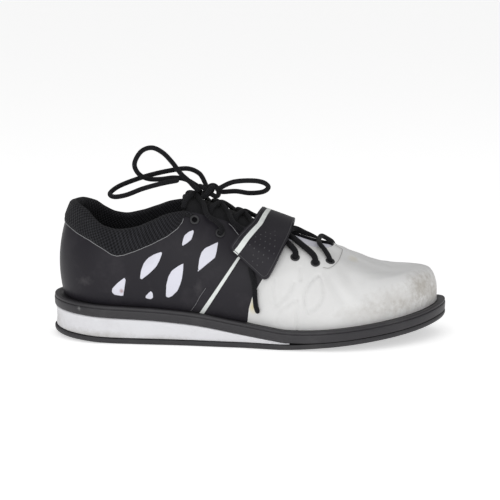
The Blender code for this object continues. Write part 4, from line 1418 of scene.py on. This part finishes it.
def eyelet_rims():
    points, faces = [], []
    for a0, rise in EYELETS:
        for at in (a0, 360.0 - a0):
            base = len(points)
            points += rim_points(at, rise)
            for k in range(RIM_STEPS):
                one = base + k * RIM_SIDES
                two = base + (k + 1) % RIM_STEPS * RIM_SIDES
                for m in range(RIM_SIDES):
                    n = (m + 1) % RIM_SIDES
                    faces.append((one + m, two + m, two + n, one + n))
    obj = new_object("eyelet_rims", np.array(points), faces)
    mend_normals(obj)
    obj.data.materials.append(BLACK_TRIM)
    return obj


finish_piece(eyelet_rims(), angle=80.0)

# %% Fine lines
# The grey lines paint highlights on the edges they follow; the tab's line
# paints the shadow under the tab's edge.
# name, course as length and height, radius, lift, material
FINE_LINES = (
    ("layer_line", ((-39.5, 25.0), (-36.0, 30.0), (-33.0, 35.5),
                    (-28.4, 42.5)), 0.14, 0.1, EDGE_HIGHLIGHT_GREY),
    ("eyestay_line", ((-13.0, 87.0), (-10.5, 85.0), (-7.5, 81.6),
                      (-5.5, 79.5)), 0.26, 0.1, EDGE_HIGHLIGHT_GREY),
    ("collar_line", ((-48.6, 86.6), (-46.4, 89.0), (-45.8, 92.0),
                     (-46.0, 95.0)), 0.25, 0.1, EDGE_HIGHLIGHT_GREY),
    ("tab_line", ((70.2, 69.5), (69.8, 66.5), (68.2, 62.6), (64.9, 59.4),
                  (60.6, 57.5), (56.4, 58.0)), 0.22, 0.5, SEAM_SHADE),
)
for name, course, radius, lift, material in FINE_LINES:
    drawn = smooth_path([(x, 0.0, z) for x, z in course])
    line = [outside(*locate(x, z), lift) for x, _, z in drawn]
    finish_piece(tube(name, line, radius, material, sides=6), angle=80.0)

# %% [markdown]
# ## Tongue
# The tongue is a thin pad under the eyestays that stands up above the
# collar.  Its rows come from the same edges as the throat, half a
# millimetre below the upper.

# %% Tongue
# angle around, rise at its middle part's edge and at its rim, dome
TONGUE = (
    (16.0, 0.86, 0.76, 0.0), (18.0, 0.93, 0.80, 0.0), (24.0, 1.0, 0.85, 0.6),
    (40.0, 1.0, 0.85, 1.2), (55.0, 1.0, 0.83, 1.8), (66.0, 1.0, 0.82, 2.4),
    (74.0, 1.0, 0.82, 3.2), (82.0, 1.0, 0.82, 4.6), (90.0, 1.0, 0.82, 5.6),
    (98.0, 1.0, 0.83, 6.4), (105.0, 1.0, 0.84, 7.4), (108.0, 1.0, 0.86, 8.0),
)
# back, up and share of the width, row by row over the top
TONGUE_TOP = ((0.0, 0.0, 1.0), (-2.4, 1.0, 0.90), (-4.8, 1.5, 0.76),
              (-6.4, 1.2, 0.56), (-7.2, 0.2, 0.34))
TONGUE_THICK, TONGUE_RIM, UNDER = 4.6, 1.6, 0.5
PALE_TONGUE_FROM = 20.0


def tongue_row(around, middle, wing, dome):
    """One row: up the outer wing, over the dome, down the inner wing."""
    out, back = [], []
    for share in np.linspace(1.0, 0.125, 8):
        r = middle + (wing - middle) * share
        out.append(inside(around, r, UNDER))
        back.append(inside(360.0 - around, r, UNDER))
    a = inside(around, middle, UNDER)
    b = inside(360.0 - around, middle, UNDER)
    for c in np.linspace(0.0, 1.0, 17):
        out.append(a + (b - a) * c
                   + (0.0, 0.0, dome * (1.0 - (2.0 * c - 1.0) ** 2)))
    return np.array(out + back[::-1])


def tongue_face():
    """Upper face of the tongue, from its front to the turned-over top."""
    stations = np.array(TONGUE)
    rows = []
    for s in np.linspace(0.0, len(TONGUE) - 1, 56):
        i = min(int(s), len(TONGUE) - 2)
        rows.append(tongue_row(*(stations[i] + (stations[i + 1] - stations[i])
                                 * (s - i))))
    last = rows[-1]
    middle, crest = last[:, 1].mean(), last[:, 2].max()
    top = np.column_stack([range(len(TONGUE_TOP)), TONGUE_TOP])
    for s in np.linspace(0.0, len(TONGUE_TOP) - 1, 17)[1:]:
        dx, dz, width = [through(top, k, s) for k in (1, 2, 3)]
        row = last.copy()
        row[:, 1] = middle + (last[:, 1] - middle) * width
        row[:, 0] += dx
        row[:, 2] += dz + (crest - last[:, 2]) * min(1.0, dz / 8.0) * 0.7
        rows.append(row)
    return np.array(rows)


def thick_sheet(name, face, thick, material):
    """Closed piece between a grid face and its copy further in."""
    rows, cols = face.shape[:2]
    n = np.cross(np.gradient(face, axis=0), np.gradient(face, axis=1))
    n /= np.maximum(np.linalg.norm(n, axis=-1, keepdims=True), 1e-9)
    if n[rows // 2, cols // 2, 2] < 0.0:
        n = -n
    under = face - n * thick[..., None]
    base = rows * cols
    top = grid_faces(rows, cols)
    faces = top + [tuple(base + i for i in f[::-1]) for f in top]
    edge = [(0, j) for j in range(cols)] \
        + [(i, cols - 1) for i in range(1, rows)] \
        + [(rows - 1, j) for j in range(cols - 2, -1, -1)] \
        + [(i, 0) for i in range(rows - 2, 0, -1)]
    for k, (i, j) in enumerate(edge):
        i2, j2 = edge[(k + 1) % len(edge)]
        a, b = i * cols + j, i2 * cols + j2
        faces.append((a, base + a, base + b, b))
    # the UV map runs in millimetres along and across the face
    run = np.zeros((rows, cols, 2))
    run[1:, :, 1] = np.cumsum(np.linalg.norm(np.diff(face, axis=0), axis=-1),
                              axis=0)
    run[:, 1:, 0] = np.cumsum(np.linalg.norm(np.diff(face, axis=1), axis=-1),
                              axis=1)
    uv = np.vstack([run.reshape(-1, 2)] * 2)
    obj = new_object(name, np.vstack([face.reshape(-1, 3),
                                      under.reshape(-1, 3)]), faces, uv=uv)
    mend_normals(obj)
    obj.data.materials.append(material)
    return obj


tongue_grid = tongue_face()
rows, columns = tongue_grid.shape[:2]
# thinner towards both sides, rounded off at the top, thin at the front
share = np.abs(np.linspace(-1.0, 1.0, columns))
thick = TONGUE_THICK - (TONGUE_THICK - TONGUE_RIM) * share ** 2.2
from_top = np.clip((rows - 1 - np.arange(rows)) / 5.0, 0.0, 1.0)
crest = 0.25 + 0.75 * np.sqrt(from_top * (2.0 - from_top))
front = 0.4 + 0.6 * smooth(0.0, 8.0, np.arange(rows))
tongue = thick_sheet("tongue_pad", tongue_grid,
                     thick[None, :] * (crest * front)[:, None], TONGUE_MESH)
tongue.data.materials.append(PALE_LAYER)
for face in tongue.data.polygons:
    if face.center.x > PALE_TONGUE_FROM * MM:
        face.material_index = 1
finish_piece(tongue, "tongue", angle=60.0)

# %% [markdown]
# ## Strap
# A stiff strap runs from the sole on the inner side over the instep and
# is pressed down on the outer side.  Its face is drawn through five guide
# lines that follow the swell of the shoe.  Its free end has rounded
# corners.

# %% Strap
# heel-side edge, then toe-side edge: angle around and rise at the free
# end, angle at the throat, dome over the throat
STRAP = ((94.6, 0.69, 84.6, 7.0), (83.6, 0.405, 70.8, 5.2))
STRAP_THICK, STRAP_NEAR, STRAP_LIFT, STRAP_FOOT = 3.2, 0.7, 5.2, 0.055
# how far the strap is pulled back at each edge, and where along it
STRAP_PULL, PULL_FULL, PULL_FADE = (6.6, 2.6), 0.34, 0.10
# shares of its length where it leaves the outer side and meets the inner
THROAT_FROM, THROAT_TO = 0.36, 0.56
CORNER = 4.2


def strap_edge(which, t):
    """Point of one guide line, t from the free end to the sole."""
    around, rise, edge, dome = which
    slope = (around - edge) / (1.0 - rise)
    swell = STRAP_LIFT - STRAP_NEAR
    if t <= THROAT_FROM:
        r = rise + (1.0 - rise) * t / THROAT_FROM
        lift = STRAP_NEAR + swell * smooth(rise - 0.02, 0.75, r)
        return outside(edge + slope * (1.0 - r), r, lift)
    if t >= THROAT_TO:
        r = 1.0 + (STRAP_FOOT - 1.0) * (t - THROAT_TO) / (1.0 - THROAT_TO)
        lift = STRAP_NEAR + swell * smooth(0.45, 0.72, r)
        return outside(360.0 - (edge + slope * (1.0 - r) * 0.8), r, lift)
    c = (t - THROAT_FROM) / (THROAT_TO - THROAT_FROM)
    p = outside(edge, 1.0, STRAP_LIFT)
    q = outside(360.0 - edge, 1.0, STRAP_LIFT)
    return p + (q - p) * c + (0.0, 0.0, dome * (1.0 - (2.0 * c - 1.0) ** 2))


def strap_point(t, w):
    """Lower face: t from the free end to the sole, w across, 0 at heel."""
    p = strap_edge(np.array(STRAP[0]) * (1.0 - w)
                   + np.array(STRAP[1]) * w, t)
    # pulled tight: the outer half runs straight up to the crest
    pull = STRAP_PULL[0] * (1.0 - w) + STRAP_PULL[1] * w
    past = min(max((t - THROAT_FROM) / PULL_FADE, 0.0), 1.0)
    share = min(t / PULL_FULL, 1.0) * (1.0 - past)
    return p - (pull * share, 0.0, 0.0)


def strap_grid():
    """Lower face of the strap, and the shares across it."""
    ts = np.concatenate([np.linspace(0.0, THROAT_FROM, 40),
                         np.linspace(THROAT_FROM, THROAT_TO, 24)[1:-1],
                         np.linspace(THROAT_TO, 1.0, 44)])
    lines, ws = np.linspace(0.0, 1.0, 5), np.linspace(0.0, 1.0, 65)
    face = np.array([[strap_point(t, w) for w in lines] for t in ts])
    spread = np.vander(ws, 5) @ np.linalg.inv(np.vander(lines, 5))
    face = np.einsum("wl,tlk->twk", spread, face)
    # ease the kinks where the strap leaves the upper's edge
    for _ in range(14):
        face[1:-1] = face[1:-1] * 0.5 + (face[:-2] + face[2:]) * 0.25
    return face, ws


strap_low, strap_w = strap_grid()
CREST_ROW, MIDDLE = 50, 32      # a grid point in the middle of the crest
strap_normal = np.cross(np.gradient(strap_low, axis=0),
                        np.gradient(strap_low, axis=1))
strap_normal /= np.linalg.norm(strap_normal, axis=-1, keepdims=True)
if strap_normal[CREST_ROW, MIDDLE, 2] < 0.0:
    strap_normal = -strap_normal
crest_normal = tuple(strap_normal[CREST_ROW, MIDDLE])
strap_run = running_length(strap_low[:, MIDDLE])
STRAP_WIDE = float(np.linalg.norm(strap_low[8, -1] - strap_low[8, 0]))


def face_out(obj, face):
    """Flip the sheet if one of its faces looks away from the crest."""
    if obj.data.polygons[face].normal.dot(crest_normal) < 0.0:
        obj.data.flip_normals()


# above zero inside the strap, with rounded corners at its free end
strap_s, strap_a = np.meshgrid(strap_run, strap_w * STRAP_WIDE, indexing="ij")
from_side = np.minimum(strap_a, STRAP_WIDE - strap_a)
keep = CORNER + 1e-4 - np.hypot(np.maximum(CORNER - strap_s, 0.0),
                                np.maximum(CORNER - from_side, 0.0))
verts, faces, coords = trimmed(strap_low + strap_normal * STRAP_THICK, keep,
                               np.stack([strap_a, strap_s], -1))
strap = new_object("strap_band", verts, faces, uv=coords)
turn_together(strap)
face_out(strap, len(faces) // 2)
apply_modifier(strap, "SOLIDIFY", thickness=STRAP_THICK * MM, offset=-1.0)
apply_modifier(strap, "BEVEL", width=0.0007, segments=3,
               limit_method="ANGLE", angle_limit=math.radians(50.0))
strap.data.materials.append(BLACK_PANEL)
finish_piece(strap, "strap", angle=40.0)

# %% [markdown]
# The strap carries the stripe on along its heel-side edge.  A raised line
# runs round its border, and small moulded studs in a diamond of offset
# rows give the fingers grip near the free end.  Line and studs are a grey a
# little lighter than the strap, a painted highlight on their raised tops.

# %% Trim of the strap
def on_strap(along, across, lift):
    """Points on the strap: from its free end, from its heel edge, above."""
    i = np.clip(np.interp(along, strap_run, np.arange(len(strap_run))), 0.0,
                len(strap_run) - 1.001)
    last = len(strap_w) - 1.0
    j = np.clip(np.asarray(across) / STRAP_WIDE * last, 0.0, last - 0.001)
    i0, j0 = i.astype(int), j.astype(int)
    u, v = (i - i0)[..., None], (j - j0)[..., None]

    def between(table):
        return (table[i0, j0] * (1 - u) * (1 - v)
                + table[i0 + 1, j0] * u * (1 - v)
                + table[i0, j0 + 1] * (1 - u) * v
                + table[i0 + 1, j0 + 1] * u * v)

    n = between(strap_normal)
    n /= np.linalg.norm(n, axis=-1, keepdims=True)
    return between(strap_low) + n * (STRAP_THICK + lift)


STRIPE_IN, STRIPE_WIDE, STRIPE_LIFT, STRIPE_THICK = 4.7, 4.2, 0.10, 0.15
BORDER_IN, BORDER_ROUND = 1.5, 0.26
long_way = np.linspace(0.35, strap_run[-1] - 0.5, 150)
cross_way = np.linspace(STRIPE_IN, STRIPE_IN + STRIPE_WIDE, 7)
aa, cc = np.meshgrid(long_way, cross_way, indexing="ij")
film = new_object("strap_stripe",
                  on_strap(aa, cc, STRIPE_LIFT).reshape(-1, 3),
                  grid_faces(*aa.shape),
                  uv=np.stack([cc, aa], -1).reshape(-1, 2))
face_out(film, 300)
apply_modifier(film, "SOLIDIFY", thickness=STRIPE_THICK * MM, offset=-1.0)
film.data.materials.append(SILVER)
finish_piece(film, angle=45.0)


def border_route():
    """Up one side of the free end, round it and back, with round turns."""
    turn = CORNER - BORDER_IN + 0.6
    near, far = BORDER_IN + turn, STRAP_WIDE - BORDER_IN - turn
    end = strap_run[-1] - 6.0
    quarter = np.linspace(0.0, math.pi / 2.0, 8)[1:]
    route = [(s, BORDER_IN) for s in np.linspace(end, near, 90)]
    route += [(near - turn * math.sin(a), near - turn * math.cos(a))
              for a in quarter]
    route += [(BORDER_IN, w) for w in np.linspace(near, far, 16)[1:]]
    route += [(near - turn * math.cos(a), far + turn * math.sin(a))
              for a in quarter]
    route += [(s, far + turn) for s in np.linspace(near, end, 90)[1:]]
    return np.array(route)


# the border's lighter grey is a painted highlight on its raised line
route = border_route()
border = tube("strap_border", on_strap(route[:, 0], route[:, 1], 0.05),
              BORDER_ROUND, STRAP_TRIM_HIGHLIGHT, sides=8)
finish_piece(border, angle=80.0)

STUD_PITCH, STUD_ROUND, STUD_HIGH, STUD_SIDES = 4.3, 0.52, 0.24, 8
STUD_RINGS = ((1.0, 0.0), (0.8, 0.6), (0.4, 0.95))    # size, height
STUD_ROWS, STUD_COLUMNS, FIRST_STUD = 8, 6, (4.5, 11.6)
DIAMOND, DIAMOND_REACH = (16.0, 21.0), (19.0, 12.0)   # along, across


def studs():
    """Low round domes in offset rows, kept inside a diamond."""
    points, faces = [], []
    for row, column in np.ndindex(STUD_ROWS, STUD_COLUMNS):
        along = FIRST_STUD[0] + row * STUD_PITCH * 0.866
        across = FIRST_STUD[1] + (column + 0.5 * (row % 2)) * STUD_PITCH
        if (abs(along - DIAMOND[0]) / DIAMOND_REACH[0]
                + abs(across - DIAMOND[1]) / DIAMOND_REACH[1]) > 1.0:
            continue
        base = len(points)
        for size, high in STUD_RINGS:
            for k in range(STUD_SIDES):
                a = 2.0 * math.pi * k / STUD_SIDES
                points.append(on_strap(
                    np.array(along + math.cos(a) * STUD_ROUND * size),
                    np.array(across + math.sin(a) * STUD_ROUND * size),
                    STUD_HIGH * high))
        rings = grid_faces(len(STUD_RINGS), STUD_SIDES, closed=True)
        faces += [tuple(base + i for i in face) for face in rings]
        top = len(points) - STUD_SIDES
        faces.append(tuple(range(top, top + STUD_SIDES)))
        faces.append(tuple(range(base + STUD_SIDES - 1, base - 1, -1)))
    obj = new_object("strap_studs", np.array(points), faces)
    mend_normals(obj)
    obj.data.materials.append(STRAP_TRIM_HIGHLIGHT)
    return obj


finish_piece(studs(), angle=60.0)

# %% [markdown]
# ## Laces
# The laces cross over the tongue from eyelet to eyelet.  Each one comes
# out of its hole, over the throat's edge, across the tongue, and goes
# under the other edge.  The two front pairs are pressed a little wider.

# %% Crossings
CLEAR = LACE / 2.0 + 0.45       # axis of a lace that lies on the upper
FLAT_LACE = 1.22


def over_throat(around, share, lift):
    """Point over the tongue, share of the way from the outer edge."""
    p, q = inside(around, 1.0, UNDER), inside(360.0 - around, 1.0, UNDER)
    at = p + (q - p) * share
    rise = np.interp(around, [r[0] for r in TONGUE], [r[3] for r in TONGUE])
    at[2] += rise * (1.0 - (2.0 * share - 1.0) ** 2) + CLEAR + 0.15 + lift
    return at


def crossing_path(k, inner):
    """Up from the eyelet, over the edge and slanting back to the far one."""
    a0, r0 = EYELETS[k]
    side = (lambda a: 360.0 - a) if inner else (lambda a: a)
    across = (lambda c: 1.0 - c) if inner else (lambda c: c)
    up = 1.0 - r0
    return [outside(side(a0), r0 - 0.005, -4.0),
            outside(side(a0), r0 - 0.002, -0.6),
            outside(side(a0 - 0.5), r0 + up * 0.16, CLEAR * 0.8),
            outside(side(a0 + 0.2), r0 + up * 0.38, CLEAR),
            outside(side(a0 + 2.2), r0 + up * 0.64, CLEAR + 0.2),
            outside(side(a0 + 5.0), 0.985, CLEAR + 0.5),
            over_throat(a0 + 6.2, across(0.20), 0.3),
            over_throat(a0 + 9.0, 0.5, 0.1 + 0.9 * inner),
            over_throat(a0 + 11.6, across(0.80), 0.1),
            over_throat(a0 + 12.4, across(0.93), -1.6)]


a0, r0 = EYELETS[0]
bar_path = [outside(a0, r0 - 0.01, -4.0), outside(a0, r0, -0.6),
            outside(a0, r0 + 0.03, CLEAR * 0.8),
            outside(a0 - 2.0, 0.88, CLEAR),
            outside(a0 - 5.0, 0.985, CLEAR + 0.5),
            over_throat(a0 - 6.0, 0.5, 0.8),
            outside(365.0 - a0, 0.985, CLEAR + 0.5),
            outside(362.0 - a0, 0.88, CLEAR),
            outside(360.0 - a0, r0 + 0.03, CLEAR * 0.8),
            outside(360.0 - a0, r0, -0.6), outside(360.0 - a0, r0 - 0.01, -4.0)]
finish_piece(tube("front_bar", smooth_path(bar_path), LACE / 2.0,
                  LACE_BRAID), "lace_bar", angle=80.0)
for k in range(1, len(EYELETS) - 1):
    radius = LACE / 2.0 * (FLAT_LACE if k < 3 else 1.0)
    for inner, word in ((False, "outer"), (True, "inner")):
        piece = tube("crossing_%s_%d" % (word, k),
                     smooth_path(crossing_path(k, inner)), radius, LACE_BRAID)
        finish_piece(piece, "lace_cross_%d" % k, angle=80.0)

# %% [markdown]
# ## The bow
# Above the top eyelets the two laces are tied in a loose bow.  One loop
# stands up towards the heel, one lies over the strap, one long end trails
# back over the collar, and the other hangs out below the strap.  All of
# it is free cord, and the length of each stretch is printed.

# %% Routes of the free lace
KNOT = ((-30.0, -1.0, 107.7), (8.5, 7.5, 5.2))      # centre, half sizes
KNOT_CLEAR, KNOT_STUB = 1.045, 3.0


def on_knot(dx, dy, dz):
    """Two points that leave the knot squarely in one direction."""
    (cx, cy, cz), (rx, ry, rz) = KNOT
    size = math.sqrt(dx * dx + dy * dy + dz * dz)
    u, v, w = dx / size, dy / size, dz / size
    near = np.array([cx + rx * u * KNOT_CLEAR, cy + ry * v * KNOT_CLEAR,
                     cz + rz * w * KNOT_CLEAR])
    n = np.array([u / rx, v / ry, w / rz])
    return tuple(near), tuple(near + n / np.linalg.norm(n) * KNOT_STUB)


LOOP_BACK = on_knot(-0.8, -0.5, 0.33) + (
    (-44.0, -8.5, 116.5), (-49.5, -8.5, 121.5),
    (-56.0, -8.5, 130.0), (-63.0, -8.0, 137.0), (-71.0, -8.0, 140.5),
    (-79.0, -7.5, 137.5), (-84.0, -7.0, 128.5), (-81.5, -5.5, 121.0),
    (-75.0, -3.0, 116.8), (-66.0, 0.0, 116.0), (-56.0, 3.0, 116.8),
    (-47.5, 3.5, 115.6),
) + on_knot(-0.85, 0.35, 0.4)[::-1]
LOOP_FRONT = on_knot(0.8, -0.5, 0.35) + (
    (-11.0, -9.5, 116.0), (2.0, -11.5, 117.5),
    (11.0, -9.5, 116.0), (14.5, -3.0, 111.5), (10.0, 3.5, 107.0),
    (0.0, 5.5, 105.6), (-10.0, 4.5, 107.0),
) + on_knot(0.9, 0.35, -0.1)[::-1]
END_BACK = on_knot(-0.3, 0.85, 0.5) + (
    (-38.0, 11.0, 119.0), (-47.0, 11.5, 122.5),
    (-60.0, 10.5, 121.0), (-75.0, 10.0, 117.5), (-88.0, 7.0, 113.5),
    (-98.0, 3.0, 109.5), (-103.0, -3.5, 105.5), (-99.0, -10.0, 104.0),
    (-89.5, -13.0, 106.0), (-77.0, -14.0, 111.0), (-63.0, -14.0, 115.0),
    (-52.0, -13.5, 117.2),
)
# angle around and rise, as this end lies on the upper
END_FRONT = ((88.2, 0.50), (87.6, 0.42), (87.1, 0.33), (87.0, 0.24),
             (86.8, 0.17), (86.4, 0.13))

# %% [markdown]
# The knot is the lace itself, drawn into a tight three-lobed overhand
# knot, so its strands pass over and under each other.

# %% Knot
def knot_route():
    """Closed three-lobed course that just fits inside the knot's size."""
    (cx, cy, cz), (rx, ry, rz) = KNOT
    slack = LACE / 2.0 - 0.3
    route = []
    for t in np.linspace(0.0, 2.0 * math.pi, 97):
        route.append((cx + (rx - slack) * (math.sin(t)
                                           + 2.0 * math.sin(2 * t)) / 2.6,
                      cy + (ry - slack) * (math.cos(t)
                                           - 2.0 * math.cos(2 * t)) / 2.6,
                      cz - (rz - slack) * math.sin(3 * t)))
    return np.array(route)


knot = finish_piece(tube("knot", knot_route(), LACE / 2.0, LACE_BRAID),
                    "lace_knot", angle=80.0)


# %% Free lace
def free_lace(name, points, node):
    """Tube for one free stretch; prints its length."""
    path = smooth_path(points)
    piece = tube(name, path, LACE / 2.0, LACE_BRAID)
    finish_piece(piece, node, angle=80.0)
    length = float(running_length(path)[-1])
    print(name, "is", round(length), "mm long")


free_lace("loop_back", LOOP_BACK, "lace_loop_back")
free_lace("loop_front", LOOP_FRONT, "lace_loop_front")
free_lace("end_back", END_BACK, "lace_end_back")
free_lace("end_front", [outside(a, r, CLEAR) for a, r in END_FRONT],
          "lace_end_front")

# %% [markdown]
# ## Floor and light
# A wide pale sheet lies under the shoe and runs out into a white
# surround.  Large soft lamps light it, as on a product table.

# %% Studio
bpy.ops.object.select_all(action="DESELECT")
bpy.ops.mesh.primitive_plane_add(size=30.0, location=(0.0, 0.0, 0.0))
floor = bpy.context.object
floor.name = "studio_floor"
paper = new_material(
    "studio_paper", (0.93, 0.93, 0.93, 1), 0.9, Specular_IOR_Level=0.1,
    Emission_Color=(1.0, 1.0, 1.0, 1), Emission_Strength=0.50)[0]
floor.data.materials.append(paper)

world = bpy.data.worlds.new("studio")
bpy.context.scene.world = world
world.use_nodes = True
sky = world.node_tree.nodes["Background"].inputs
sky["Color"].default_value = (1.0, 1.0, 1.0, 1.0)
sky["Strength"].default_value = 0.46


def lamp(name, spot, aim, size, power):
    """Soft rectangular lamp that faces its aim, in metres and watts."""
    bpy.ops.object.light_add(type="AREA", location=spot)
    light = bpy.context.object
    light.name = name
    light.data.shape = "RECTANGLE"
    light.data.size, light.data.size_y = size
    light.data.energy = power
    direction = np.array(aim, float) - np.array(spot, float)
    flat = math.hypot(direction[0], direction[1])
    light.rotation_euler = (math.atan2(flat, -direction[2]), 0.0,
                            math.atan2(-direction[0], direction[1]))


lamp("top_lamp", (0.1, -0.3, 1.3), (0.0, 0.0, 0.05), (1.6, 1.2), 2.6)
lamp("front_lamp", (-0.3, -1.6, 0.6), (0.0, 0.0, 0.06), (1.4, 0.9), 9.0)
lamp("side_lamp", (1.2, -0.5, 0.6), (0.0, 0.0, 0.06), (0.8, 0.8), 0.8)
bpy.context.scene.view_settings.view_transform = "Standard"

# %% Close the scene
bpy.ops.object.select_all(action="DESELECT")
